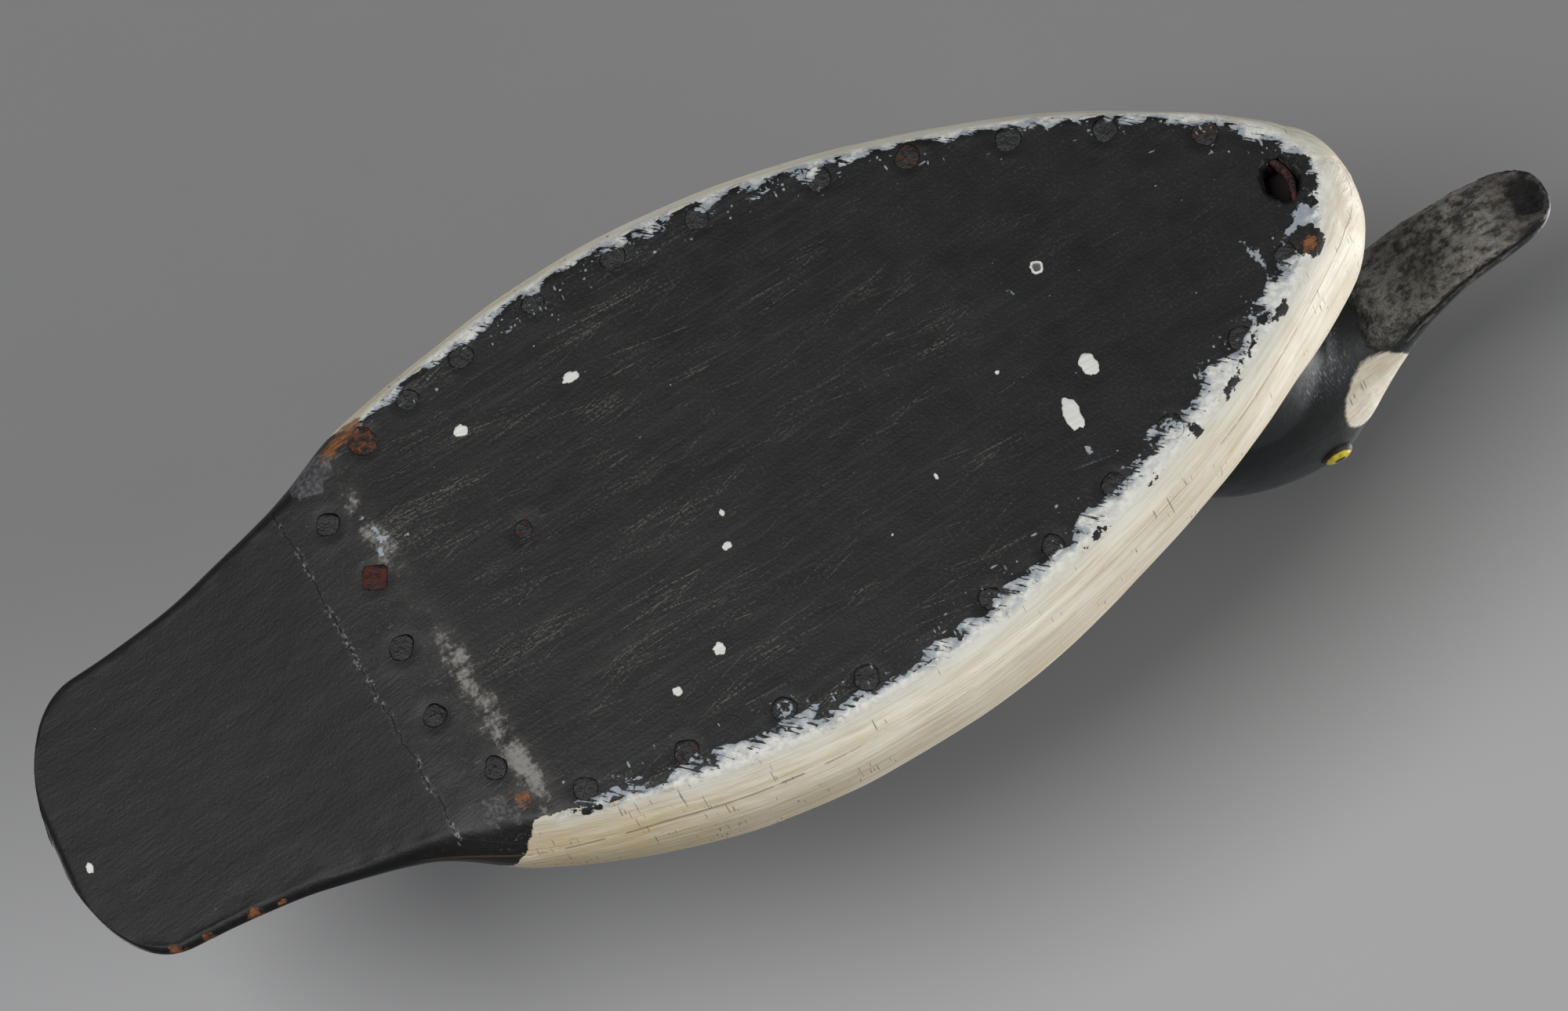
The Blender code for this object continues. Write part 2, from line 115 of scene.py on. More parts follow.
# %% Shader helper
class Wires:
    """Adds shader nodes to one tree. An input is a number, a colour or another node's output."""

    def __init__(self, tree):
        self.tree = tree

    def fill(self, made, inputs):
        for socket, value in inputs.items():
            if isinstance(value, bpy.types.NodeSocket):
                self.tree.links.new(value, made.inputs[socket])
            else:
                made.inputs[socket].default_value = value
        return made.outputs

    def node(self, kind, inputs=None, output=0, **settings):
        made = self.tree.nodes.new(kind)
        for setting, value in settings.items():
            setattr(made, setting, value)
        return self.fill(made, inputs or {})[output]

    def math(self, operation, a, b=0.0, clamp=False):
        return self.node("ShaderNodeMath", {0: a, 1: b}, operation=operation, use_clamp=clamp)

    def total(self, *values):
        result = values[0]
        for value in values[1:]:
            result = self.math("ADD", result, value)
        return result

    def product(self, *values):
        result = values[0]
        for value in values[1:]:
            result = self.math("MULTIPLY", result, value)
        return result

    def most(self, a, b):
        return self.math("MAXIMUM", a, b)

    def ease(self, value, low, high, start=0.0, end=1.0):
        """Smooth step: start below low, end above high."""
        return self.node("ShaderNodeMapRange", {"Value": value, "From Min": low, "From Max": high,
                                                "To Min": start, "To Max": end},
                         interpolation_type="SMOOTHSTEP")

    def blend(self, share, a, b):
        """A colour between a and b."""
        return self.node("ShaderNodeMix", {0: share, 6: a, 7: b}, output=2, data_type="RGBA")

    def between(self, share, a, b):
        """A number between a and b."""
        return self.node("ShaderNodeMix", {0: share, 2: a, 3: b}, data_type="FLOAT")

    def vector(self, operation, a, b):
        return self.node("ShaderNodeVectorMath", {0: a, 1: b}, operation=operation)

    def noise(self, place, size, detail=2.0, roughness=0.55):
        """Cloudy noise around 0.5 whose largest lumps are about size mm."""
        scale = self.math("DIVIDE", 1.0, size)
        return self.node("ShaderNodeTexNoise", {"Vector": place, "Scale": scale, "Detail": detail,
                                                "Roughness": roughness})

    def attribute(self, name, output="Fac"):
        return self.node("ShaderNodeAttribute", output=output, attribute_name=name)

    def group(self, group, inputs, output=0):
        made = self.tree.nodes.new("ShaderNodeGroup")
        made.node_tree = group
        outputs = self.fill(made, inputs)
        return outputs if output is None else outputs[output]

    def axis(self, vector, number):
        """The X, Y or Z (0, 1 or 2) of a vector."""
        return self.node("ShaderNodeSeparateXYZ", {0: vector}, output=number)

    def scaled(self, vector, factor):
        return self.node("ShaderNodeVectorMath", {0: vector, "Scale": factor}, operation="SCALE")


def shade(red, green, blue):
    """A colour that is seen as these 0 to 255 values, as Blender's linear RGBA."""
    def linear(value):
        value /= 255
        return value / 12.92 if value <= 0.04045 else ((value + 0.055) / 1.055) ** 2.4
    return (linear(red), linear(green), linear(blue), 1.0)


def new_group(name, inputs, outputs):
    """A shader node group, its Wires, its inputs by name and a function that feeds an output."""
    kinds = {"value": "NodeSocketFloat", "vector": "NodeSocketVector", "colour": "NodeSocketColor"}
    tree = bpy.data.node_groups.new(name, "ShaderNodeTree")
    for label, kind in inputs.items():
        tree.interface.new_socket(label, in_out="INPUT", socket_type=kinds[kind])
    for label, kind in outputs.items():
        tree.interface.new_socket(label, in_out="OUTPUT", socket_type=kinds[kind])
    given = tree.nodes.new("NodeGroupInput").outputs
    result = tree.nodes.new("NodeGroupOutput").inputs

    def give(label, value):
        tree.links.new(value, result[label])

    return tree, Wires(tree), given, give


def new_material(name):
    """A material with its Wires, its Principled shader and the place on the surface in mm."""
    material = bpy.data.materials.new(name)
    material.use_nodes = True
    wires = Wires(material.node_tree)
    shader = material.node_tree.nodes["Principled BSDF"]
    metres = wires.node("ShaderNodeTexCoord", output="Object")
    return material, wires, shader, wires.scaled(metres, 1 / MM)


def finish_shader(wires, shader, colour, roughness, height, metallic=None):
    """Feeds the shader; height is in mm and goes through a Bump node."""
    wires.tree.links.new(colour, shader.inputs["Base Color"])
    wires.tree.links.new(roughness, shader.inputs["Roughness"])
    if metallic is not None:
        wires.tree.links.new(metallic, shader.inputs["Metallic"])
    normal = wires.node("ShaderNodeBump", {"Height": height, "Distance": MM, "Strength": 1.0})
    wires.tree.links.new(normal, shader.inputs["Normal"])


# %% Floor and backdrop
def stage_sheet(name, height, size, facing_up, colour, gradient):
    """A large flat sheet that is seen only from its front and blocks no light; a non-zero gradient paints a
    fall-off of light into its colour.
    """
    mesh = bpy.data.meshes.new(name)
    corners = [(-size, -size, height), (size, -size, height), (size, size, height), (-size, size, height)]
    mesh.from_pydata(corners if facing_up else corners[::-1], [], [(0, 1, 2, 3)])
    sheet = bpy.data.objects.new(name, mesh)
    scene.collection.objects.link(sheet)
    material, wires, shader, place = new_material(name)
    shader.inputs["Roughness"].default_value = 0.9
    shader.inputs["Specular IOR Level"].default_value = 0.1
    # Painted light: along the gradient the colour darkens and brightens, as the studio light falls off across
    # the sheet.
    along, across = wires.axis(place, 0), wires.axis(place, 1)
    slope = wires.total(wires.product(along, gradient[0]), wires.product(across, gradient[1]))
    tone = wires.ease(slope, -1.0, 1.0)
    mottle = wires.product(wires.noise(place, 30.0, 3.0), 0.04)
    dark = tuple(0.74 * channel for channel in colour) + (1.0,)
    light = tuple(1.26 * channel for channel in colour) + (1.0,)
    wires.tree.links.new(wires.blend(wires.total(tone, mottle), dark, light), shader.inputs["Base Color"])
    clear = wires.node("ShaderNodeBsdfTransparent")
    behind = wires.node("ShaderNodeNewGeometry", output="Backfacing")
    both = wires.node("ShaderNodeMixShader", {0: behind, 1: shader.outputs[0], 2: clear})
    wires.tree.links.new(both, material.node_tree.nodes["Material Output"].inputs["Surface"])
    mesh.materials.append(material)
    sheet.visible_shadow = False
    sheet.visible_diffuse = False
    sheet.visible_glossy = False


HEAD_TOP = cad_box[1][2]
FLOOR_DROP = 0.0006         # m, so that the floor doesn't touch the underside
BACKDROP_GAP = 0.002        # m, between the top of the head and the backdrop
stage_sheet("floor", -FLOOR_DROP, 6.0, True, (0.62, 0.62, 0.61), (0.0, 0.0))
stage_sheet("backdrop", HEAD_TOP + BACKDROP_GAP, 4.0, False, (0.31, 0.31, 0.313), (-0.0024, 0.0098))


# %% Lights
def soft_light(name, towards_camera, right, up, distance, size, power):
    """An area light that looks at the duck from a mix of the camera's own directions."""
    direction = (-towards_camera * view_direction + right * camera_right + up * camera_up).normalized()
    data = bpy.data.lights.new(name, "AREA")
    data.shape = "RECTANGLE"
    data.size, data.size_y = size
    data.energy = power
    light = bpy.data.objects.new(name, data)
    turn = direction.to_track_quat("Z", "Y").to_matrix().to_4x4()
    light.matrix_world = Matrix.Translation(direction * distance) @ turn
    light.visible_camera = False
    scene.collection.objects.link(light)


# Name, towards the camera, right, up, distance in m, size in m, power in W.
STUDIO_LIGHTS = [
    ("key", 1.0, -0.52, 0.15, 1.7, (0.9, 0.8), 21.5),
    ("fill", 0.8, 1.35, -0.14, 2.0, (1.6, 1.4), 21.0),
    ("top_front", -0.8, 1.1, 0.0, 1.9, (1.2, 1.0), 30.0),
    ("top_back", -1.0, -0.8, -0.3, 1.9, (1.4, 1.2), 14.0)]
for light in STUDIO_LIGHTS:
    soft_light(*light)
world = bpy.data.worlds.new("studio")
world.use_nodes = True
surroundings = world.node_tree.nodes["Background"].inputs
surroundings["Color"].default_value = (0.8, 0.82, 0.85, 1)
surroundings["Strength"].default_value = 0.26
scene.world = world

# %% [markdown]
# ## The lines of the body
#
# A carver works from a few patterns: the outline of the flat underside, the outline at the
# widest line, and the profile of the back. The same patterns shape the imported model, apart
# from the height of the widest line low on the breast, which rises a little sooner here. They
# are smooth curves through their points, read by numpy at hundreds of stations.

# %% Curves
TAIL_END_X = -197.5
TAIL_CORNER = 22.0
BREAST_X = 148.5
BREAST_Z = 20.0
FLAT_FRONT_X = 140.0
RIDGE_X = -91.5


def curve_through(points):
    """Smooth curve through (place, value) points that never overshoots them; reads arrays."""
    places, values = np.array(points, float).T
    steps = np.diff(places)
    slopes = np.diff(values) / steps
    before, after = slopes[:-1], slopes[1:]
    flat = before * after <= 0
    middle = np.where(flat, 0.0, 2 * before * after / np.where(flat, 1.0, before + after))
    tangents = np.concatenate([slopes[:1], middle, slopes[-1:]])

    def value_at(place):
        place = np.clip(place, places[0], places[-1])
        i = np.clip(np.searchsorted(places, place) - 1, 0, len(steps) - 1)
        u = (place - places[i]) / steps[i]
        ends = values[i] * (2 * u ** 3 - 3 * u ** 2 + 1) + values[i + 1] * (3 * u ** 2 - 2 * u ** 3)
        bends = tangents[i] * (u ** 3 - 2 * u ** 2 + u) + tangents[i + 1] * (u ** 3 - u ** 2)
        return ends + bends * steps[i]

    return value_at


def round_nosed(nose_x, points):
    """Smooth curve through (x, value) points, given from the nose backwards, blunt at nose_x."""
    curve = curve_through([(math.sqrt(nose_x - x), value) for x, value in points])
    return lambda x: curve(np.sqrt(np.maximum(0.0, nose_x - x)))


flat_half_width = round_nosed(FLAT_FRONT_X, [
    (140, 0), (139, 4.6), (137, 9), (133, 14), (127, 20), (118, 27), (106, 34.6), (88, 43.4),
    (60, 53.8), (33, 61.6), (5, 66.2), (-18, 67.3), (-40, 66), (-68, 60.8), (-95, 53.4),
    (-111, 47), (-133, 42.6), (-151, 39.2), (-175, 37.2), (-197.5, 36.6)])
wide_half_width = round_nosed(BREAST_X, [
    (148.5, 0), (147.5, 8), (143, 15.8), (133, 23.4), (118, 33.6), (88, 51.6), (60, 62.4), (33, 70.2),
    (5, 74.7), (-18, 75.8), (-40, 74.3), (-68, 68.8), (-95, 60.4), (-111, 51.6), (-118, 48.4),
    (-133, 44.2), (-151, 40.2), (-175, 37.8), (-197.5, 37)])
back_height = round_nosed(BREAST_X, [
    (148.5, 20), (148, 30), (145.5, 43), (140.5, 56), (132, 66.5), (121, 72.5), (100, 75.5), (60, 77),
    (10, 78.5), (-35, 76.5), (-75, 68), (-105, 55.5), (-130, 42), (-155, 31.5), (-180, 25.5),
    (-197.5, 21.5)])
wide_height = curve_through([
    (-197.5, 2.2), (-150, 3), (-118, 5), (-95, 12), (-60, 17), (40, 17), (112, 16), (140, 20),
    (148.5, 20)])
fullness = curve_through([
    (-197.5, 1.3), (-150, 1.35), (-120, 1.55), (-85, 1.85), (-40, 2.0), (20, 2.0), (85, 1.65),
    (125, 1.8), (148.5, 2.0)])
planed_rise = curve_through([(-197.5, 15.6), (-170, 12.6), (-140, 8.4), (-109.5, 2.6), (-91.5, 0)])
# Shape of the flank below the widest line: 1 is a parabola, 0.5 a quarter of an ellipse.
flank_power = curve_through([(-197.5, 1.0), (95, 1.0), (138, 0.5), (148.5, 0.5)])

# The ridge where the planed part starts was drawn by hand, so it slants across the body.
RIDGE_MIDDLE_X = -93.3
RIDGE_SLANT = 0.11


def ridge_x(y):
    return RIDGE_MIDDLE_X + RIDGE_SLANT * y


def lowest(x, y=0.0):
    """Height of the underside at (x, y)."""
    shifted = x - (ridge_x(y) - RIDGE_X)
    reach = np.clip((x - FLAT_FRONT_X) / (BREAST_X - FLAT_FRONT_X), 0, 1)
    under_breast = BREAST_Z * (1 - np.sqrt(1 - reach ** 2))
    return np.where(shifted < RIDGE_X, planed_rise(shifted), under_breast)


def tail_rounding(x, corner=TAIL_CORNER, power=2.3):
    reach = np.clip((x - TAIL_END_X) / corner, 0, 1)
    return np.sqrt(np.maximum(0.0, 1 - (1 - reach) ** power))


print("widest:", round(float(wide_half_width(-18)) * 2, 1), "mm")

# %% [markdown]
# ## Fine surface of the body
#
# The body is one loft: a ring of points at each station, evenly spaced along the surface.
# The rim of the underside is worn round, and tool marks, the dents round the nails and the
# worn ridge are pushed into the points along the surface's own normals, so they are real
# relief and not only shading.

# %% Stations and rings
STATIONS = 300
UNDER_STEPS = 46
FLANK_STEPS = 17
BACK_STEPS = 58
RIM_RADIUS = 1.7            # wear of the underside's edge
TAIL_EDGE = 2.6             # rounding of the tail's end in side view


def body_stations():
    """Places of the rings, evenly spaced along the outline instead of along X."""
    t = np.linspace(0, 1, 6001)
    x = TAIL_END_X + 0.05 + (BREAST_X - 0.02 - TAIL_END_X - 0.05) * np.sin(0.5 * np.pi * t)
    wide = wide_half_width(x) * tail_rounding(x)
    steps = np.sqrt(np.diff(x) ** 2 + 0.6 * np.diff(wide) ** 2 + 0.6 * np.diff(back_height(x)) ** 2)
    run = np.concatenate([[0], np.cumsum(steps)])
    places = np.interp(np.linspace(0, run[-1], STATIONS), run, x)
    for crease in (RIDGE_X, FLAT_FRONT_X):
        places[np.argmin(abs(places - crease))] = crease
    return places


def spaced(points, count):
    """The same path with count + 1 evenly spaced points."""
    run = np.concatenate([[0], np.cumsum(np.linalg.norm(np.diff(points, axis=0), axis=1))])
    even = np.linspace(0, run[-1], count + 1)
    return np.column_stack([np.interp(even, run, points[:, k]) for k in (0, 1)])


def half_ring(x):
    """(y, z) points from the middle of the underside up the left side to the middle of the back."""
    low, high = float(lowest(x)), float(back_height(x))
    wide = float(wide_half_width(x) * tail_rounding(x))
    flat = max(float(flat_half_width(x) * tail_rounding(x)), 0.1 * wide)
    middle = min(low + float(wide_height(x)), 0.5 * (low + high)) if x < FLAT_FRONT_X else BREAST_Z
    u = np.linspace(0, 1, 60)
    swell = (2 * u - u * u) ** float(flank_power(x))
    flank = np.column_stack([flat + (wide - flat) * swell, low + (middle - low) * u])
    rim = min(RIM_RADIUS, 0.3 * flat, 0.6 * (middle - low) + 0.01)
    start = np.array([flat - rim, low])
    run = np.linalg.norm(flank - flank[0], axis=1)
    kept = flank[run > rim]
    end = kept[0] if len(kept) else flank[-1]
    v = np.linspace(0, 1, 7)[:, None]
    corner = (1 - v) ** 2 * start + 2 * v * (1 - v) * flank[0] + v ** 2 * end
    angle = np.linspace(0, 0.5 * np.pi, 90)
    power = 2 / float(fullness(x))
    back = np.column_stack([wide * np.cos(angle) ** power, middle + (high - middle) * np.sin(angle) ** power])
    back[-1] = (0, high)
    under = np.column_stack([np.linspace(0, flat - rim, UNDER_STEPS + 1), np.full(UNDER_STEPS + 1, low)])
    ring = np.concatenate([under, spaced(np.concatenate([corner, kept[1:]]), FLANK_STEPS)[1:],
                           spaced(back, BACK_STEPS)[1:]])
    end_round = float(tail_rounding(x, TAIL_EDGE, 2.0))
    ring[:, 1] = 0.5 * (low + high) + (ring[:, 1] - 0.5 * (low + high)) * max(end_round, 0.05)
    return ring


def body_grid():
    """Points of the body as an array of stations by ring places, before the relief."""
    rows = []
    for x in body_stations():
        half = half_ring(x)
        ring = np.concatenate([half, half[-2:0:-1] * (-1, 1)])
        rows.append(np.column_stack([np.full(len(ring), x), ring]))
    return np.array(rows)


grid = body_grid()
print("body grid:", grid.shape)

# %% Nails of the underside
LEFT_RIM_NAILS = [(-77, 4.5), (-52.5, 6.5), (-28, 7.5), (-8, 5), (25.5, 4.2),
                  (44, 4.2), (63, 4.5), (81, 4.2), (105, 4.5), (124, 5)]
RIGHT_RIM_NAILS = [(-88, 5), (-74, 4.5), (-58, 4.5), (-37, 4.2), (-15, 4.2), (7, 4.2),
                   (37, 4.5), (58, 4.2), (81, 4.2), (102, 4.2), (122, 4.5)]
CROSS_NAILS = [(-93.5, 39), (-101, 20), (-101, 1), (-99.5, -18), (-104, -36), (-63, -11)]


def nail_places():
    """(x, y) of each nail by the name of its node."""
    places = {}
    for side, row, sign in (("left", LEFT_RIM_NAILS, 1), ("right", RIGHT_RIM_NAILS, -1)):
        for number, (x, inset) in enumerate(row, start=1):
            places[f"nail_{side}_{number:02d}"] = (x, sign * (float(flat_half_width(x)) - inset))
    for number, (x, y) in enumerate(CROSS_NAILS, start=1):
        places[f"nail_cross_{number:02d}"] = (x, y)
    return places


NAILS = nail_places()
print("nails:", len(NAILS))


# %% Relief of the body
def lumps(points, size, seed, octaves=2):
    """Smooth noise between about -1 and 1 at each point, with lumps of about size mm."""
    offset = Vector((seed * 13.7, seed * 7.3, seed * 3.1))
    flat = points.reshape(-1, 3) / size
    values = [noise.fractal(Vector(p) + offset, 1.0, 2.0, octaves) for p in flat]
    return np.array(values).reshape(points.shape[:-1])


def with_relief(points):
    """The body's points with the slanting ridge, tool marks, a wavering rim and nail dents."""
    ring_count = points.shape[1]
    place = np.minimum(np.arange(ring_count), ring_count - np.arange(ring_count))
    x, y = points[..., 0], points[..., 1]
    under = np.clip(1 - (place - UNDER_STEPS) / FLANK_STEPS, 0, 1)[None, :]
    lift = (lowest(x, y) - lowest(x)) * under
    along = np.gradient(points, axis=0)
    around = (np.roll(points, -1, axis=1) - np.roll(points, 1, axis=1)) / 2
    normal = np.cross(around, along)
    normal /= np.maximum(np.linalg.norm(normal, axis=2, keepdims=True), 1e-9)
    outward = np.sign(np.sum(normal * (points - points.mean(axis=1, keepdims=True)), axis=2, keepdims=True))
    normal *= outward
    is_under = (place <= UNDER_STEPS)[None, :]
    tool_marks = np.where(is_under, 0.10, 0.22) * lumps(points * (0.4, 1, 1), 16, 1)
    fine_marks = 0.05 * lumps(points * (0.35, 1, 1), 3.5, 2)
    rim_share = np.exp(-((place - UNDER_STEPS - 1) / 3.0) ** 2)[None, :]
    rim_waver = 0.35 * rim_share * lumps(points, 7, 3)
    dents = np.zeros(x.shape)
    for nail_x, nail_y in NAILS.values():
        away = np.hypot(x - nail_x, y - nail_y)
        dents -= 0.30 * np.exp(-(away / 3.6) ** 2) * is_under
        dents += 0.10 * np.exp(-((away - 5.2) / 1.2) ** 2) * is_under
    crest = 0.25 * np.exp(-((x - ridge_x(y)) / 2.5) ** 2) * is_under
    moved = points + normal * (tool_marks + fine_marks + rim_waver + dents - crest)[..., None]
    moved[..., 2] += lift
    ends = np.array([0, -1])
    moved[ends] = points[ends]
    return moved


def mesh_object(name, rows, closed_ends=True):
    """An object in metres from rings of points in mm, with each end filled."""
    rows = np.asarray(rows, float)
    count, size = rows.shape[:2]
    index = np.arange(count * size).reshape(count, size)
    here, there = index[:-1], index[1:]
    quads = np.stack([here, np.roll(here, -1, 1), np.roll(there, -1, 1), there], axis=-1).reshape(-1, 4)
    faces = quads.tolist()
    if closed_ends:
        faces += [index[0][::-1].tolist(), index[-1].tolist()]
    mesh = bpy.data.meshes.new(name)
    mesh.from_pydata((rows.reshape(-1, 3) * MM).tolist(), [], faces)
    item = bpy.data.objects.new(name, mesh)
    scene.collection.objects.link(item)
    turn_outwards(item)
    return item


def turn_outwards(item):
    builder = bmesh.new()
    builder.from_mesh(item.data)
    bmesh.ops.recalc_face_normals(builder, faces=builder.faces)
    builder.to_mesh(item.data)
    builder.free()


fine_grid = with_relief(grid)
body_blank = mesh_object("body_blank", fine_grid)
print("body blank:", len(body_blank.data.polygons), "faces")

# %% [markdown]
# ## Cutting the blank into shell and bottom board
#
# The real body was hollowed from below and closed by a board, which feathers out at a ragged
# seam ahead of the tail. A Boolean with one long tool makes each piece from the same blank, so
# their faces run parallel. Where paint bridges the joint the gap is a hair, and near the rump
# it opens into a fine crack.

# %% Cutting tools
BOARD_THICKNESS = 8.0
BOARD_BEVEL_X = -62.0
FEATHER = 0.7


def seam_x(y):
    """Where the board ends against the tail: a slanting line with small breaks."""
    y = np.asarray(y, float)
    flat = y.reshape(-1)
    jag = [1.1 * noise.noise(Vector((v / 7.0, 4.2, 0))) + 0.7 * noise.noise(Vector((v / 1.9, 9.1, 0)))
           for v in flat]
    return -111.6 + 0.068 * y + np.array(jag).reshape(y.shape)


def joint_gap(x):
    """Half the gap between board and shell at x: open near the rump, else a hair."""
    opened = np.exp(-((x + 82) / 26) ** 4)
    waver = 0.5 + 0.5 * noise.noise(Vector((x / 9.0, 0.3, 0)))
    return 0.015 + 0.05 * waver + 0.13 * opened * waver


def joint_tool(sign):
    """The space that the board fills, opened (sign 1) or closed (sign -1) by the gap."""
    far = 60.0
    rows = []
    for y in np.arange(-90.0, 90.01, 1.0):
        gap = sign * 0.07
        seam = float(seam_x(y))
        outline = [(seam - gap, -far), (seam - gap, float(lowest(seam, y)) + FEATHER + gap)]
        for x in np.arange(BOARD_BEVEL_X, BREAST_X + far, 6.0):
            outline.append((x, BOARD_THICKNESS + sign * joint_gap(x)))
        outline.append((BREAST_X + far, -far))
        rows.append([(x, y, z) for x, z in outline])
    return mesh_object("joint_tool", rows)


def tooled(item, tool, operation):
    """Cuts the item with the tool, keeps the result as its mesh and removes the tool."""
    step = item.modifiers.new("cut", "BOOLEAN")
    step.operation = operation
    step.solver = "MANIFOLD"
    step.object = tool
    settle(item)
    bpy.data.objects.remove(tool)


def settle(item):
    """Turns the item's modifiers into plain mesh."""
    seen = item.evaluated_get(bpy.context.evaluated_depsgraph_get())
    mesh = bpy.data.meshes.new_from_object(seen)
    item.modifiers.clear()
    item.data = mesh


def copy_of(item, name):
    twin = bpy.data.objects.new(name, item.data.copy())
    scene.collection.objects.link(twin)
    return twin


shell = copy_of(body_blank, "decoy_body")
board = copy_of(body_blank, "decoy_bottom_board")
bpy.data.objects.remove(body_blank)
tooled(shell, joint_tool(1), "DIFFERENCE")
tooled(board, joint_tool(-1), "INTERSECT")
print("shell faces:", len(shell.data.polygons), "board faces:", len(board.data.polygons))

# %% The hollow, the neck seat and the bore
WALL = 17.0
ROOF = 16.0
CAVITY_BACK_X, CAVITY_FRONT_X, CAVITY_ROOF = -50.0, 100.0, 48.0
NECK_X, NECK_HALF_LENGTH, NECK_HALF_WIDTH, SEAT_Z = 106.5, 25.5, 20.0, 62.0
SCREW_X, SCREW_BORE, SCREW_ROOM, SCREW_LENGTH = 94.0, 2.7, 5.6, 42.0


def cavity_tool():
    """The hollow: a rounded chamber that follows the body and is open below."""
    rows = []
    for k in range(29):
        t = k / 28
        x = CAVITY_BACK_X + (CAVITY_FRONT_X - CAVITY_BACK_X) * (1 - math.cos(math.pi * t)) / 2
        ends = max(0.25, (1 - abs(2 * t - 1) ** 5) ** 0.5)
        half = (float(wide_half_width(x)) - WALL) * ends
        roof = min(float(back_height(x)) - ROOF, CAVITY_ROOF + max(0.0, 70 - x) * 0.3)
        high = roof * (0.55 + 0.45 * ends)
        angle = np.linspace(0, np.pi, 25)
        y = half * np.sign(np.cos(angle)) * abs(np.cos(angle)) ** 0.75
        z = 14 + (high - 14) * np.maximum(np.sin(angle), 0) ** 0.75
        arch = np.column_stack([np.full(25, x), y, z])
        rows.append(np.concatenate([[(x, half, -5.0)], arch, [(x, -half, -5.0)]]))
    return mesh_object("cavity_tool", rows)


def oval_rows(centre_x, half_length, half_width, heights, sides=64, centre_y=0.0):
    angle = 2 * np.pi * np.arange(sides) / sides
    return [np.column_stack([centre_x + half_length * np.cos(angle),
                             centre_y + half_width * np.sin(angle), np.full(sides, z)]) for z in heights]


def turned_rows(profile, sides, centre_x=0.0, centre_y=0.0):
    """Rings turned round Z from (radius, z) points."""
    angle = 2 * np.pi * np.arange(sides) / sides
    return [np.column_stack([centre_x + radius * np.cos(angle), centre_y + radius * np.sin(angle),
                             np.full(sides, z)]) for radius, z in profile]


tooled(shell, cavity_tool(), "DIFFERENCE")
neck_seat = oval_rows(NECK_X, NECK_HALF_LENGTH, NECK_HALF_WIDTH, (SEAT_Z, 140))
tooled(shell, mesh_object("neck_seat", neck_seat), "DIFFERENCE")
bore = [(SCREW_ROOM, 20), (SCREW_ROOM, CAVITY_ROOF), (SCREW_BORE, CAVITY_ROOF),
        (SCREW_BORE, CAVITY_ROOF + SCREW_LENGTH + 1)]
tooled(shell, mesh_object("bore", turned_rows(bore, 32, SCREW_X)), "DIFFERENCE")

# %% [markdown]
# ## Nails
#
# Twenty-seven flat-headed iron nails hold the board. Their heads are hammered level with the
# paint, so each is a low uneven disc in a pit of its own. Every nail gets its own outline
# from a seeded generator. One of them has a square head, and one stands a little proud.

# %% Nail shapes
NAIL_SIDES = 28
HEAD_RADIUS = 3.1
HEAD_THICKNESS = 1.1
SHANK_RADIUS = 1.3
NAIL_LENGTH = 22.0
SQUARE_NAIL = "nail_cross_04"
BIG_RUSTY_NAIL = "nail_right_01"
SMALL_NAIL = "nail_cross_06"


def nail_outline(draw, radius, square):
    """Uneven head radius at each side of the disc."""
    angle = 2 * np.pi * np.arange(NAIL_SIDES) / NAIL_SIDES
    phases = [draw.uniform(0, 2 * math.pi) for _ in range(3)]
    waves = sum(0.035 * np.cos((k + 2) * angle + phase) for k, phase in enumerate(phases))
    chips = np.array([draw.uniform(-0.02, 0.02) for _ in range(NAIL_SIDES)])
    outline = radius * (1 + waves + chips)
    if square:
        corner = (abs(np.cos(angle - 0.5)) ** 5 + abs(np.sin(angle - 0.5)) ** 5) ** (-1 / 5)
        outline = 0.86 * radius * corner * (1 + 0.5 * waves)
    return angle, outline


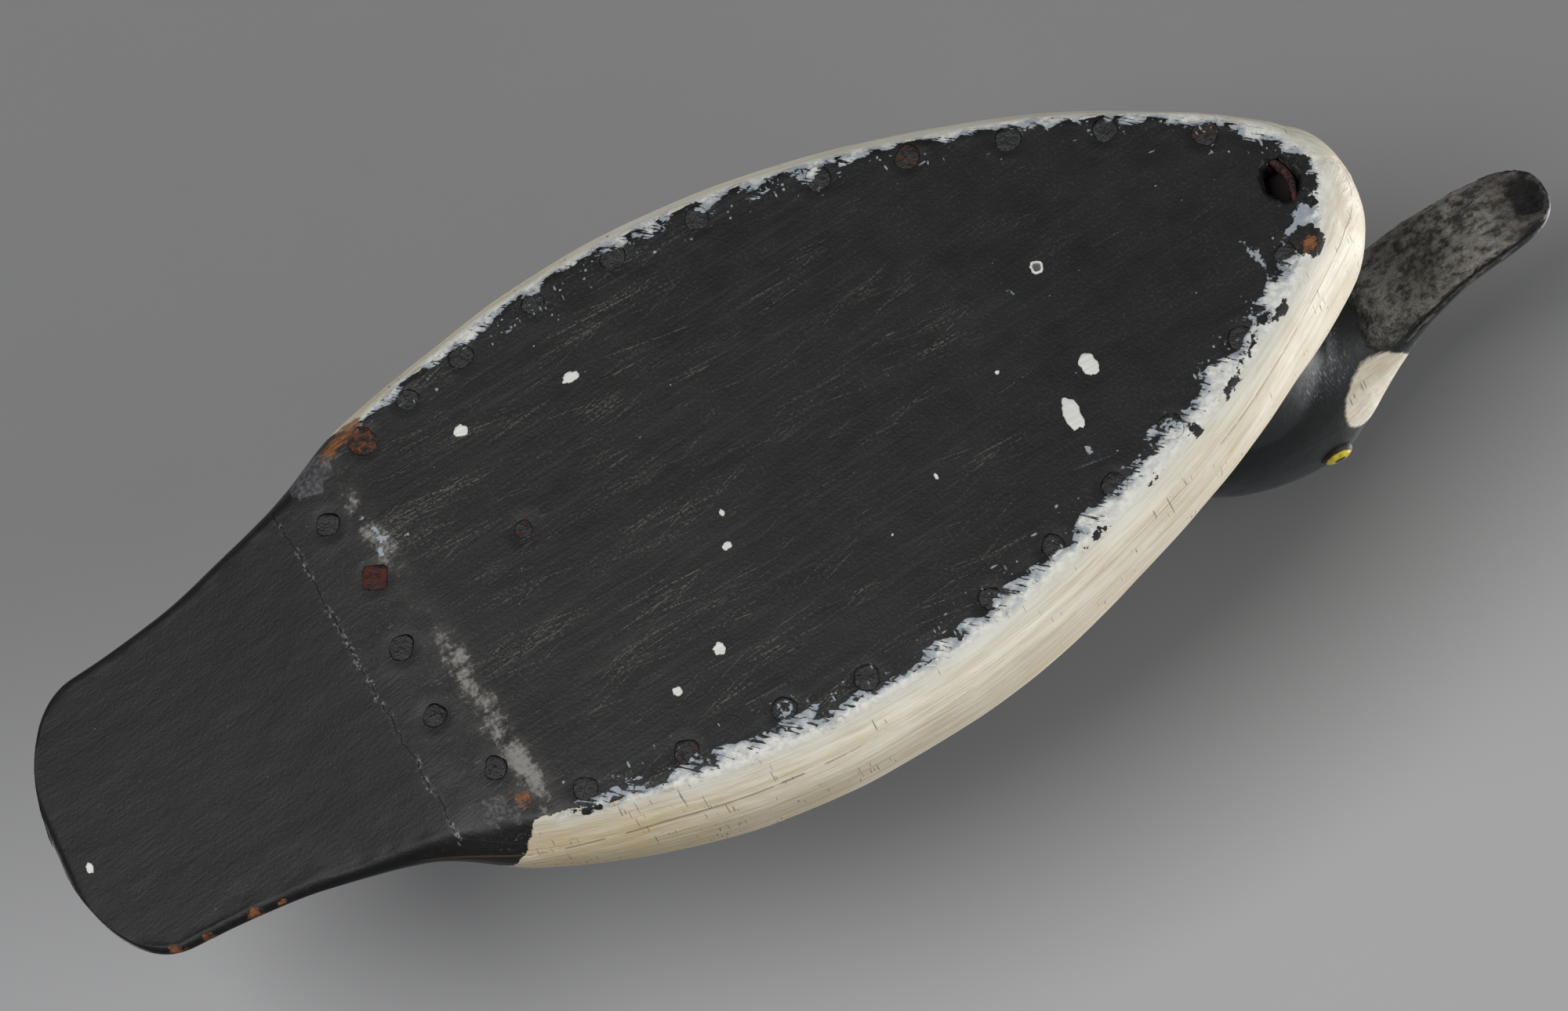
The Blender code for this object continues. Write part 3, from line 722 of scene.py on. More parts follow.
def nail_rows(name, draw, x, y):
    """Rings of a nail from the middle of its face to its point, and of the pit that it sits in."""
    square, big = name == SQUARE_NAIL, name == BIG_RUSTY_NAIL
    radius = HEAD_RADIUS * (1.15 if big or square else draw.uniform(0.85, 1.04))
    if name == SMALL_NAIL:
        radius *= 0.7
    angle, outline = nail_outline(draw, radius, square)
    floor_z = float(lowest(x, y))
    sink = -0.35 if big else (0.0 if square else draw.uniform(-0.05, 0.06))
    face = floor_z + sink
    tilt = np.array([draw.uniform(-0.03, 0.03), draw.uniform(-0.03, 0.03)])
    dome = 0.5 if big else draw.uniform(0.03, 0.14)

    def ring(scale, z, fixed=None):
        reach = outline * scale if fixed is None else np.full(NAIL_SIDES, fixed)
        px, py = reach * np.cos(angle), reach * np.sin(angle)
        lean_z = (px * tilt[0] + py * tilt[1]) * (fixed is None)
        return np.column_stack([x + px, y + py, z + lean_z])

    rows = [ring(0.03, face - dome), ring(0.35, face - 0.9 * dome + draw.uniform(0, 0.08)),
            ring(0.62, face - 0.6 * dome), ring(0.84, face - 0.2 * dome), ring(0.95, face + 0.08),
            ring(1.0, face + 0.3), ring(0.98, face + HEAD_THICKNESS),
            ring(0, face + HEAD_THICKNESS, SHANK_RADIUS), ring(0, face + NAIL_LENGTH - 4, SHANK_RADIUS),
            ring(0, face + NAIL_LENGTH, 0.15)]
    pit = outline + draw.uniform(0.03, 0.08)

    def pit_ring(reach, z):
        return np.column_stack([x + reach * np.cos(angle), y + reach * np.sin(angle), np.full(NAIL_SIDES, z)])

    bore_reach = np.full(NAIL_SIDES, SHANK_RADIUS + 0.15)
    pit_rows = [pit_ring(pit + 0.05, floor_z - 2), pit_ring(pit + 0.03, floor_z - 0.05),
                pit_ring(pit, floor_z + 0.25), pit_ring(pit, face + HEAD_THICKNESS + 0.15),
                pit_ring(bore_reach, face + HEAD_THICKNESS + 0.15),
                pit_ring(bore_reach, face + NAIL_LENGTH + 0.5)]
    return rows, pit_rows


def joined(name, items):
    """One object that holds the meshes of several, which are removed."""
    builder = bmesh.new()
    for item in items:
        builder.from_mesh(item.data)
        bpy.data.objects.remove(item)
    mesh = bpy.data.meshes.new(name)
    builder.to_mesh(mesh)
    builder.free()
    item = bpy.data.objects.new(name, mesh)
    scene.collection.objects.link(item)
    return item


draw = random.Random(27)
nail_objects, pits = {}, []
for name, (x, y) in NAILS.items():
    rows, pit_rows = nail_rows(name, draw, x, y)
    nail_objects[name] = mesh_object(name.replace("nail", "iron_nail"), rows)
    pits.append(mesh_object("pit", pit_rows))
pit_tool = joined("pits", pits)
for piece in (shell, board):
    tooled(piece, copy_of(pit_tool, "pit_copy"), "DIFFERENCE")
bpy.data.objects.remove(pit_tool)
print("nails made:", len(nail_objects))

# %% [markdown]
# ## Staple and pocket
#
# The anchor line was tied to a wire staple that crosses a small carved pocket at the front of
# the board. Its bar is bent a little towards the breast and its wire is pitted, so the tube's
# radius and centre line waver. The pocket is gouged, with an uneven lip.
# Inside the pocket the wood is painted nearly black, as painted shade in the recess.

# %% Staple and pocket shapes
TIE_X = 132.5
TIE_HALF_SPAN = 7.2
WIRE_RADIUS = 1.1
TIE_LEG = 15.0
TIE_SINK = 0.4
POCKET_X, POCKET_HALF_LENGTH, POCKET_HALF_WIDTH = 131.6, 3.8, 5.2
TIE_BOW = 1.2               # how far the bar is bent towards the breast
# Height in the pocket and how much wider it is there.
POCKET_WALL = ((-5, 1.9), (-0.3, 1.5), (0.25, 0.9), (0.9, 0.3), (2.5, 0.0), (5, -0.1), (13, -0.2))


def staple_rows(extra=0.0, sides=18):
    """Rings along the staple: up one leg, across the pocket and down the other."""
    corner, bar_z = 2.6, TIE_SINK + WIRE_RADIUS
    path = [Vector((TIE_X, -TIE_HALF_SPAN, bar_z + corner + z))
            for z in np.arange(TIE_LEG - corner, 0.1, -0.8)]
    for angle in np.radians(np.arange(0, 91, 9)):
        path.append(Vector((TIE_X, -TIE_HALF_SPAN + corner * (1 - math.cos(angle)),
                            bar_z + corner * (1 - math.sin(angle)))))
    path += [Vector((TIE_X, y, bar_z)) for y in np.arange(-TIE_HALF_SPAN + corner + 0.6, 0.01, 0.6)]
    path += [Vector((p.x, -p.y, p.z)) for p in reversed(path)]
    path = [p for p, after in zip(path, path[1:] + [None]) if after is None or (after - p).length > 0.05]
    rows = []
    for k, point in enumerate(path):
        along = (path[min(k + 1, len(path) - 1)] - path[max(k - 1, 0)]).normalized()
        across = Vector((1, 0, 0))
        third = along.cross(across)
        bowed = TIE_BOW * max(0.0, 1 - (point.y / 5.5) ** 2) if point.z < 3.5 else 0.0
        bend = bowed if extra else bowed + 0.3 * noise.noise(Vector((k * 0.13, 2.0, 0)))
        ring = []
        for step in range(sides):
            angle = 2 * math.pi * step / sides
            away = math.cos(angle) * across + math.sin(angle) * third
            pitting = 0.0 if extra else 0.09 * noise.noise(0.9 * (point + away) + Vector((5, 5, 5)))
            ring.append(point + (WIRE_RADIUS + extra + pitting) * away + Vector((bend, 0, 0)))
        rows.append([tuple(p) for p in ring])
    return rows


def pocket_rows():
    """The gouged pocket: wide at the lip, with uneven walls."""
    sides = 72
    angle = 2 * np.pi * np.arange(sides) / sides
    rows = []
    for z, widen in POCKET_WALL:
        round_noise = [Vector((1.9 * math.cos(a), 1.9 * math.sin(a), z / 5)) for a in angle]
        waver = np.array([0.9 * noise.fractal(place, 1.0, 2.0, 3) for place in round_noise])
        rows.append(np.column_stack([POCKET_X + (POCKET_HALF_LENGTH + widen + waver) * np.cos(angle),
                                     (POCKET_HALF_WIDTH + widen + waver) * np.sin(angle), np.full(sides, z)]))
    return rows


staple = mesh_object("iron_staple", staple_rows())
tooled(board, mesh_object("pocket", pocket_rows()), "DIFFERENCE")
for piece in (shell, board):
    tooled(piece, mesh_object("staple_room", staple_rows(extra=0.5)), "DIFFERENCE")
print("board faces:", len(board.data.polygons))

# %% [markdown]
# ## Head, bill and neck
#
# The head is a second carving, let into the body. Head and neck are lofted apart, then one
# voxel remesh melts them together as a carver's rasp would, and a little smoothing softens the
# join. After that the bill's edge line, its carved underside and the hollow under its tip are
# pushed into the points.

# %% Head sections and remesh
HEAD_SECTIONS = [
    (80.5, 114, 121, 3.0, 2.0), (82, 110, 126, 7.5, 2.0), (86, 102.5, 132.5, 12.6, 2.05),
    (92, 97, 137, 16.4, 2.1), (100, 92, 141, 19.4, 2.2), (109, 88.5, 143.5, 21.3, 2.2),
    (118, 86.5, 144, 21.9, 2.2), (126, 86, 142, 21.4, 2.2), (134, 86.5, 136, 19.4, 2.15),
    (141, 87, 127, 16.8, 2.1), (147, 86.8, 117.5, 14.8, 2.1), (152, 86, 109.5, 13.6, 2.1),
    (158, 84, 101.5, 12.7, 2.1), (165, 81.2, 94.5, 12.0, 2.1), (173, 78.8, 90, 11.4, 2.2),
    (181, 77.4, 88, 10.8, 2.4), (188, 77.2, 85.8, 10.0, 2.6), (193, 77.8, 84.6, 8.3, 2.6),
    (196, 78.8, 83.6, 5.6, 2.4), (197.4, 79.9, 82.5, 2.4, 2.0)]
NECK_SECTIONS = [
    (62.3, 106.5, 25.2, 19.7), (68, 106.9, 24.7, 19.0), (76, 108.2, 23.4, 17.6),
    (84, 109.6, 23.0, 17.2), (92, 111, 24.0, 18.0), (100, 112, 25, 18.6), (110, 113, 20, 14)]
HEAD_VOXEL = 0.75
EYE_X, EYE_Z, EYE_RADIUS, EYE_DOME, EYE_SEAT = 124.0, 121.5, 4.3, 2.8, 1.0
EYE_PITCH = math.radians(6)

head_x = [section[0] for section in HEAD_SECTIONS]
head_low, head_high, head_half, head_round = [
    curve_through(list(zip(head_x, column))) for column in list(zip(*HEAD_SECTIONS))[1:]]
neck_z = [section[0] for section in NECK_SECTIONS]
neck_centre, neck_length, neck_width = [
    curve_through(list(zip(neck_z, column))) for column in list(zip(*NECK_SECTIONS))[1:]]


def head_rows(sides=72):
    """Rings of the head from the nape to the tip of the bill; the bill's underside is flatter."""
    rows = []
    for x in np.concatenate([np.linspace(80.5, 84, 6), np.arange(85, 192, 1.2), np.linspace(192, 197.4, 9)]):
        low, high, half = float(head_low(x)), float(head_high(x)), float(head_half(x))
        middle, rise = 0.5 * (low + high), 0.5 * (high - low)
        angle = 2 * np.pi * (np.arange(sides) + 0.5) / sides
        bill = np.clip((x - 150) / 12, 0, 1)
        power = np.where(np.sin(angle) < 0, 2 / (float(head_round(x)) + 1.3 * bill), 2 / float(head_round(x)))
        y = half * np.sign(np.cos(angle)) * abs(np.cos(angle)) ** power
        z = middle + rise * np.sign(np.sin(angle)) * abs(np.sin(angle)) ** power
        rows.append(np.column_stack([np.full(sides, x), y, z]))
    return rows


def neck_rows():
    return [oval_rows(float(neck_centre(z)), float(neck_length(z)), float(neck_width(z)), (z,))[0]
            for z in np.linspace(62.3, 110, 26)]


def points_of(item):
    """The item's points as an array in mm."""
    flat = np.zeros(len(item.data.vertices) * 3, np.float32)
    item.data.vertices.foreach_get("co", flat)
    return flat.reshape(-1, 3).astype(float) / MM


def set_points(item, points):
    item.data.vertices.foreach_set("co", (points * MM).astype(np.float32).ravel())
    item.data.update()


def normals_of(item):
    flat = np.zeros(len(item.data.vertices) * 3, np.float32)
    item.data.vertices.foreach_get("normal", flat)
    return flat.reshape(-1, 3).astype(float)


head = mesh_object("decoy_head", head_rows())
tooled(head, mesh_object("neck_block", neck_rows()), "UNION")
remesh = head.modifiers.new("melt", "REMESH")
remesh.mode = "VOXEL"
remesh.voxel_size = HEAD_VOXEL * MM
settle(head)
near_join = head.vertex_groups.new(name="near_join")
head_points = points_of(head)
join_share = np.clip(1 - abs(head_points[:, 2] - 89) / 12, 0, 1) * (head_points[:, 0] < 148)
for weight in np.unique(np.round(join_share, 1)):
    chosen = np.flatnonzero(np.round(join_share, 1) == weight)
    near_join.add(chosen.tolist(), float(weight), "REPLACE")
all_over = head.modifiers.new("rasp", "SMOOTH")
all_over.factor, all_over.iterations = 0.5, 4
at_join = head.modifiers.new("rasp_join", "SMOOTH")
at_join.factor, at_join.iterations, at_join.vertex_group = 0.5, 60, "near_join"
settle(head)
head.vertex_groups.clear()
print("head points:", len(head.data.vertices))


# %% Bill details
def edge_line(x):
    """Height of the bill's cutting edge."""
    return head_low(x) + 0.30 * (head_high(x) - head_low(x))


def bill_relief(points, normals):
    """How far each point of the head moves along its normal, in mm."""
    x, y, z = points.T
    on_bill = np.clip((x - 148) / 8, 0, 1)
    side = np.clip(abs(y) / np.maximum(head_half(x), 1), 0, 1) > 0.6
    groove = -0.85 * on_bill * side * np.exp(-((z - edge_line(x)) / 0.7) ** 2) * np.clip((196 - x) / 4, 0, 1)
    below = (normals[:, 2] < -0.5) * on_bill
    gouges = np.array([noise.fractal(Vector((p[0] / 5.5, p[1] / 2.4, 0)), 1.0, 2.0, 3) for p in points])
    ridges = -0.75 * below * abs(gouges) + 0.55 * below * lumps(points * (0.6, 1, 1), 4.2, 21, 3)
    across = abs(y) / np.maximum(head_half(x), 1)
    start = np.clip((x - 177) / 15, 0, 1)
    in_hollow = start ** 2 * (3 - 2 * start) * np.clip((196.6 - x) / 3.0, 0, 1) ** 0.7
    tip_hollow = -2.2 * below * in_hollow * np.exp(-(across / 0.70) ** 3)
    chin_dip = -0.8 * below * np.exp(-((x - 158) / 6) ** 2) * np.exp(-(across / 0.5) ** 2)
    knife = 0.16 * lumps(points * (0.6, 1, 1), 9, 11) + 0.05 * lumps(points, 2.5, 12)
    brow = 0.5 * np.exp(-((z - EYE_Z - 7) / 4) ** 2) * np.exp(-((x - 126) / 12) ** 2)
    nostril = -1.0 * np.exp(-((x - 171) / 2.2) ** 2 - ((z - head_high(171) + 3.2) / 0.9) ** 2) * (abs(y) > 4)
    return groove + ridges + tip_hollow + chin_dip + knife * (1 - 0.5 * on_bill) + brow + nostril


NECK_IN_SEAT_Z = 74.0       # below this the neck is hidden and stays as it was turned
relief = bill_relief(points_of(head), normals_of(head))
relief[points_of(head)[:, 2] < NECK_IN_SEAT_Z] *= 0.0
set_points(head, points_of(head) + normals_of(head) * relief[:, None])
print("relief of the head, mm:", relief.min().round(2), "to", relief.max().round(2))

# %% [markdown]
# ## Tack eyes
#
# The eyes are upholstery tacks, painted yellow with a black pupil. A tack head is a shallow
# dome with a thin rolled edge, so it is turned from a profile with that small lip, and it
# looks slightly upwards from a shallow socket.

# %% Eyes
def eye_matrix(side):
    seat_y = float(head_half(EYE_X)) - EYE_SEAT
    turn = Matrix.Rotation(-side * (math.radians(90) - EYE_PITCH), 4, "X")
    return Matrix.Translation(Vector((EYE_X, side * seat_y, EYE_Z)) * MM) @ turn


def eye_profile(extra=0.0):
    """(radius, z) of the tack from its dome to its point."""
    dome = [(EYE_RADIUS * math.sin(a), 0.55 + (EYE_DOME - 0.55) * math.cos(a))
            for a in np.radians(np.linspace(1.5, 84, 16))]
    if extra:
        dome = [(0.05, 9.0), (EYE_RADIUS + extra, 9.0), (EYE_RADIUS + extra, 0.5)]
    lip = [(EYE_RADIUS + 0.02 + extra, 0.42), (EYE_RADIUS + extra, 0.15), (EYE_RADIUS - 0.25 + extra, -extra)]
    shank = [(1.1 + extra, -extra), (1.1 + extra, -8.0), (0.1, -11.0 - extra)]
    return dome + lip + shank


def placed_turning(name, profile, matrix, sides=56):
    item = mesh_object(name, turned_rows(profile, sides))
    item.data.transform(matrix)
    turn_outwards(item)
    return item


eyes = {}
for name, side in (("left", 1), ("right", -1)):
    eyes[name] = placed_turning(f"tack_eye_{name}", eye_profile(), eye_matrix(side))
    tooled(head, placed_turning("socket", eye_profile(0.22), eye_matrix(side)), "DIFFERENCE")
tooled(head, mesh_object("bore", turned_rows([(SCREW_BORE, 40), (SCREW_BORE, 84), (0.1, 91)], 32, SCREW_X)),
       "DIFFERENCE")
print("head box:", points_of(head).min(0).round(1), points_of(head).max(0).round(1))

# %% [markdown]
# ## Drops of white paint
#
# When the sides were last painted, a few drops fell on the black board and dried there. Each
# is a thin cushion with a ragged outline. The middle of one was knocked off again, and only a
# ring is left of it.

# %% Paint drops
# Place along, place across, half length, half width, share that broke out of the middle.
PAINT_DROPS = [
    (-66, -41, 1.9, 1.5, 0.0), (-37, -40, 2.3, 1.3, 0.0), (72, -9, 1.7, 1.6, 0.6),
    (71.5, 19, 2.2, 2.9, 0.0), (62.5, 28, 2.2, 4.6, 0.25), (-22.5, 17, 1.2, 1.0, 0.0),
    (-35, 39, 1.5, 1.5, 0.35), (-48, 43.5, 1.2, 1.1, 0.0), (-191, 8, 0.9, 1.6, 0.0),
    (-20, 9, 0.6, 0.9, 0.0), (28, 26, 0.5, 0.8, 0.0), (52, 10, 0.5, 0.5, 0.0)]
DROP_HEIGHT = 0.34
DROP_SIDES = 40
RINGS_IN_MIDDLE, RINGS_IN_ALL = 3, 9


def drop_rows(number, x, y, half_length, half_width, broken):
    """Rings from the middle of the drop out to its rim and back under it."""
    angle = 2 * np.pi * np.arange(DROP_SIDES) / DROP_SIDES
    ragged = np.array([1 + 0.32 * noise.fractal(Vector((1.3 * math.cos(a), 1.3 * math.sin(a), number * 3.3)),
                                                1.0, 2.0, 3) for a in angle])
    rows = []
    for reach, height in ((0.02, 1 - broken), (0.3, 1 - broken), (0.55, 1 - 0.8 * broken), (0.74, 1.0),
                          (0.9, 0.8), (1.0, 0.25), (0.99, -0.5), (0.5, -0.5), (0.02, -0.5)):
        px = x + half_length * reach * ragged * np.cos(angle)
        py = y + half_width * reach * ragged * np.sin(angle)
        rows.append(np.column_stack([px, py, lowest(px, py) - DROP_HEIGHT * height * np.ones(DROP_SIDES)]))
    return rows


drops = [mesh_object(f"paint_drop_{k:02d}", drop_rows(k, *drop))
         for k, drop in enumerate(PAINT_DROPS, start=1)]
broken_out = [drop[4] for drop in PAINT_DROPS]
print("paint drops:", len(drops))

# %% [markdown]
# ## Where each paint lies
#
# Paint borders are measured on the finished meshes and stored as point attributes, in mm:
# how far a point lies inside the rim of the underside, how far it is inside the black of the
# back and rump, and how thick the chalky white has crept over the rim. The shader only has to
# make these smooth numbers ragged. The larger marks, such as scuffs, bare wood and stray strokes
# of a brush, are listed one by one.

# %% Borders of the paints
CHALK_LEFT = curve_through([
    (-120, 0), (-95, 0.2), (-84, 1.2), (-72, 1.8), (-60, 2.6), (-50, 6), (-38, 6.5), (-28, 5), (-18, 3.5),
    (5, 3), (28, 4), (48, 4.5), (70, 6.5), (95, 7.5), (114, 7.5), (128, 5.5), (140, 3)])
CHALK_RIGHT = curve_through([
    (-120, 0), (-96, 0.2), (-86, 1.2), (-60, 2.6), (-30, 2.2), (0, 2.4), (20, 3.2), (50, 2.2), (90, 1.6),
    (120, 2.4), (140, 3)])
RUMP_BORDER = curve_through([(0, -90), (8, -97), (18, -106), (30, -112), (60, -112)])
BACK_BORDER = curve_through([(-112, 22), (-100, 34), (-80, 46), (-40, 56), (20, 59), (60, 62), (90, 70)])
MANTLE_FRONT_X = 86.0
print("chalk is at most", round(float(CHALK_LEFT(np.arange(-120, 140)).max()), 1), "mm wide")

# %% Places of the larger marks
# Worn places of the black board: x, y, half length, half width, turn in degrees, strength.
SCUFFS = [
    (-19, -20, 30, 2.6, -28, 0.8), (-28, -11, 16, 2.2, 8, 0.8), (-41, 44, 24, 3, 0, 0.8),
    (-75, 13, 15, 2.2, 0, 0.9), (-64, -25, 20, 2.6, -17, 1.0), (-41, -8, 18, 2.6, 6, 0.8),
    (72, -22, 13, 4.5, -30, 0.9), (-50, -34, 26, 2.6, -14, 0.7), (-5, -2, 34, 2.4, -14, 0.7),
    (30, -12, 30, 2.4, -10, 0.5), (20, 20, 30, 3, -16, 0.6), (40, 38, 20, 3, -24, 0.5),
    (-60, 30, 24, 3, -6, 0.6), (88, 12, 14, 5, -24, 0.4), (0, -40, 40, 3, -6, 0.5),
    (-91, -27, 7, 5, 40, 1.3), (-30, 30, 22, 2.2, -40, 0.6), (50, -6, 12, 8, -20, 0.5)]
# Share of scuffs along the board, from the seam to the breast.
SCUFF_PLACES = (-115, -90, -60, 10, 60, 140)
SCUFF_SHARES = (0.0, 0.42, 0.52, 0.40, 0.12, 0.0)
# Bare orange wood: x, y, z, reach.
BARE_WOOD = [
    (-90, -54.5, 1, 3.6), (-94.5, -53, 1, 2.6), (-96.5, -52, 2, 2.4), (-91.6, 49.3, 0, 1.8),
    (129.6, 17.6, 0, 2.2), (-197, 31, 16.5, 3.2), (-192, 37, 15.5, 2.6), (-181, 37.5, 14.5, 1.8),
    (-172, 38, 13.8, 1.0), (-160, 38.6, 12.2, 1.6), (-152, 39.6, 11, 1.0), (-197, -30, 17, 1.6),
    (-25, 66, 3, 0.6)]
# Grey undercoat: x, y, z, reach.
UNDERCOAT = [(-104, -49, 2, 5.4), (-100, -50.5, 1.5, 3.6), (-98, 48, 1, 3.6), (-94, 51, 1, 2.2)]
# Black strokes over the cream, and white strokes over the black: x, y, half length, half width
# and turn in degrees.
BLACK_DABS = [
    (137.2, 4.1, 1.7, 2.5, 0), (135.4, 8.7, 1.3, 1.5, 0), (134.6, 6.2, 1.2, 1.6, 0),
    (130.0, 16.6, 4.0, 3.8, -20), (136.0, 0.5, 1.6, 3.0, 0), (116.9, 28.6, 2.8, 0.8, 30),
    (112.0, 29.0, 2.2, 1.0, 20), (106.3, 33.5, 2.4, 1.0, 40), (97.7, 40.0, 3.0, 1.0, 30),
    (85.7, 45.7, 1.6, 1.8, 30), (-78.4, 58.6, 2.8, 0.7, -15), (102, 36.6, 1.6, 0.7, 50),
    (72, 51.0, 2.0, 0.8, 20), (54, 57.0, 2.4, 0.7, 15)]
WHITE_DABS = [
    (132.3, 11.2, 3.0, 2.9, -30), (128.0, 12.8, 1.6, 1.5, 0), (122.7, 20.3, 1.4, 1.5, 0),
    (117.7, 14.2, 0.8, 3.0, 10), (92.4, 35.2, 0.5, 2.2, -20), (63.8, -7.2, 0.4, 1.6, 12),
    (61.7, 37.8, 0.9, 1.3, 0), (-94, -28, 4.2, 0.5, -68), (-92, -25, 3.4, 0.4, -15),
    (-96, -21, 2.6, 0.4, 80)]
# How far the ridge is rubbed through, by the place across it.
RIDGE_PLACES = (-56, -44, -30, -22, -12, 0, 12, 22, 38, 48, 56)
RIDGE_WEAR = (0.35, 0.45, 0.75, 0.8, 0.4, 0.55, 0.95, 0.85, 1.05, 1.0, 0.5)
print("listed marks:", sum(map(len, (SCUFFS, BARE_WOOD, UNDERCOAT, BLACK_DABS, WHITE_DABS))))

# %% Distances on the hull
EDGE_SAMPLES = 1600
FAR_OUTSIDE = -9.0          # mm, for points that a mark can't reach
FAR_AWAY = 30.0


def give_attribute(item, name, values):
    kind = "FLOAT_VECTOR" if np.ndim(values) == 2 else "FLOAT"
    attribute = item.data.attributes.new(name, kind, "POINT")
    attribute.data.foreach_set("vector" if kind == "FLOAT_VECTOR" else "value",
                               np.asarray(values, np.float32).ravel())


def rim_samples():
    run = np.linspace(0, 1, EDGE_SAMPLES)
    x = FLAT_FRONT_X - (FLAT_FRONT_X - TAIL_END_X) * run ** 2
    half = np.maximum(flat_half_width(x) * tail_rounding(x), 0)
    return np.concatenate([np.column_stack([x, sign * half, lowest(x, sign * half)]) for sign in (1, -1)])


def tree_of(points):
    """A search tree that finds the nearest of some points."""
    tree = kdtree.KDTree(len(points))
    for k, point in enumerate(points):
        tree.insert(Vector(point), k)
    tree.balance()
    return tree


def away_from(tree, points):
    """Distance of each point from the nearest one in the tree."""
    return np.array([tree.find(Vector(point))[2] for point in points])


RIM_TREE = tree_of(rim_samples())
SURFACE_TREE = tree_of(fine_grid.reshape(-1, 3))


def rim_distance(points):
    """Distance from the rim of the underside: inside it positive, up the flank negative."""
    x, y, z = points.T
    away = away_from(RIM_TREE, points)
    half = flat_half_width(x) * tail_rounding(x)
    inside = (abs(y) < half - 0.3) & (z < lowest(x, y) + 1.0) & (x < FLAT_FRONT_X - 0.3)
    return np.where(inside, away, -away)


OUTLINE_X = np.linspace(TAIL_END_X, BREAST_X, 2000)
OUTLINE_STEPS = np.hypot(np.diff(OUTLINE_X), np.diff(wide_half_width(OUTLINE_X)))
OUTLINE_RUN = np.concatenate([[0], np.cumsum(OUTLINE_STEPS)])


def lay_of_paint(points):
    """Place along and up the flank, in mm, so that brush strokes can follow the outline."""
    x, y, z = points.T
    run = OUTLINE_RUN[-1] - np.interp(x, OUTLINE_X, OUTLINE_RUN)
    wide = np.maximum(wide_half_width(x), 1.0)
    signed = np.sign(y) * np.clip(abs(y) / wide, 0, 1) ** 0.35
    return np.column_stack([run * signed, z - lowest(x), wide * (1 - np.clip(abs(y) / wide, 0, 1))])


def in_spots(points, spots):
    """How far, in mm, each point lies inside the nearest of some round spots."""
    depth = np.full(len(points), FAR_OUTSIDE)
    for *centre, reach in spots:
        depth = np.maximum(depth, reach - np.linalg.norm(points - centre, axis=1))
    return depth


def in_oval(x, y, at_x, at_y, long, wide, turn):
    """Places along and across a turned oval, which are 1 at its ends."""
    cosine, sine = math.cos(math.radians(turn)), math.sin(math.radians(turn))
    along = ((x - at_x) * cosine - (y - at_y) * sine) / long
    across = ((x - at_x) * sine + (y - at_y) * cosine) / wide
    return along, across


def in_strokes(x, y, strokes):
    """How far, in mm, each point lies inside the nearest of some short strokes."""
    depth = np.full(len(x), FAR_OUTSIDE)
    for stroke in strokes:
        long, wide = stroke[2:4]
        depth = np.maximum(depth, (1 - np.hypot(*in_oval(x, y, *stroke))) * min(long, wide))
    return depth


def scuffing(x, y):
    """How scuffed each point is: a share for the whole board and more at the listed places."""
    at_marks = np.zeros(len(x))
    for *oval, strength in SCUFFS:
        along, across = in_oval(x, y, *oval)
        at_marks += strength * np.exp(-(along ** 2 + across ** 2))
    return np.interp(x, SCUFF_PLACES, SCUFF_SHARES) + 0.30 * at_marks


# %% Measures for the hull
def hull_measures(item):
    """Everything that the hull's paints need to know about each point."""
    points = points_of(item)
    x, y, z = points.T
    rim = rim_distance(points)
    behind = RUMP_BORDER(z - lowest(x)) - x
    above = np.minimum(z - BACK_BORDER(x), MANTLE_FRONT_X - x - 0.25 * abs(y))
    give_attribute(item, "rim", rim)
    give_attribute(item, "dark_side", np.maximum(behind, above))
    give_attribute(item, "chalk", np.where(y > 0, CHALK_LEFT(x), CHALK_RIGHT(x)))
    underneath = z < lowest(x, y) + 2.0
    give_attribute(item, "seam", np.where(underneath, x - seam_x(y), FAR_AWAY))
    worn = np.interp(y, RIDGE_PLACES, RIDGE_WEAR)
    give_attribute(item, "ridge", underneath * worn * np.exp(-((x - ridge_x(y) - 1.0) / 4.0) ** 2))
    give_attribute(item, "lay", lay_of_paint(points))
    give_attribute(item, "scuffed", scuffing(x, y))
    give_attribute(item, "bare", in_spots(points, BARE_WOOD))
    give_attribute(item, "undercoat", in_spots(points, UNDERCOAT))
    low_enough = np.where(z < lowest(x) + 3.0, 0.0, FAR_OUTSIDE)
    give_attribute(item, "black_dab", in_strokes(x, y, BLACK_DABS) + low_enough)
    give_attribute(item, "white_dab", in_strokes(x, y, WHITE_DABS) + low_enough)
    rear, front = np.clip((-x - 5) / 75, 0, 1), np.clip((x - 30) / 60, 0, 1)
    give_attribute(item, "aged", 0.35 * np.clip((-rim - 5) / 17, 0, 1) + 0.85 * rear + 0.16 * front)
    give_attribute(item, "inside", away_from(SURFACE_TREE, points))
    nail_near = np.full(len(x), FAR_AWAY)
    for at_x, at_y in NAILS.values():
        nail_near = np.minimum(nail_near, np.hypot(x - at_x, y - at_y))
    give_attribute(item, "nail_near", nail_near)


for piece in (shell, board):
    hull_measures(piece)


# %% Measures for the head
CHEEK_X, CHEEK_Z, CHEEK_HALF_LENGTH, CHEEK_HALF_HEIGHT = 139.4, 106.2, 10.9, 12.6
BILL_X, BILL_Z, BILL_LEAN = 144.0, 88.0, 0.25   # the line where the bill's worn underside starts


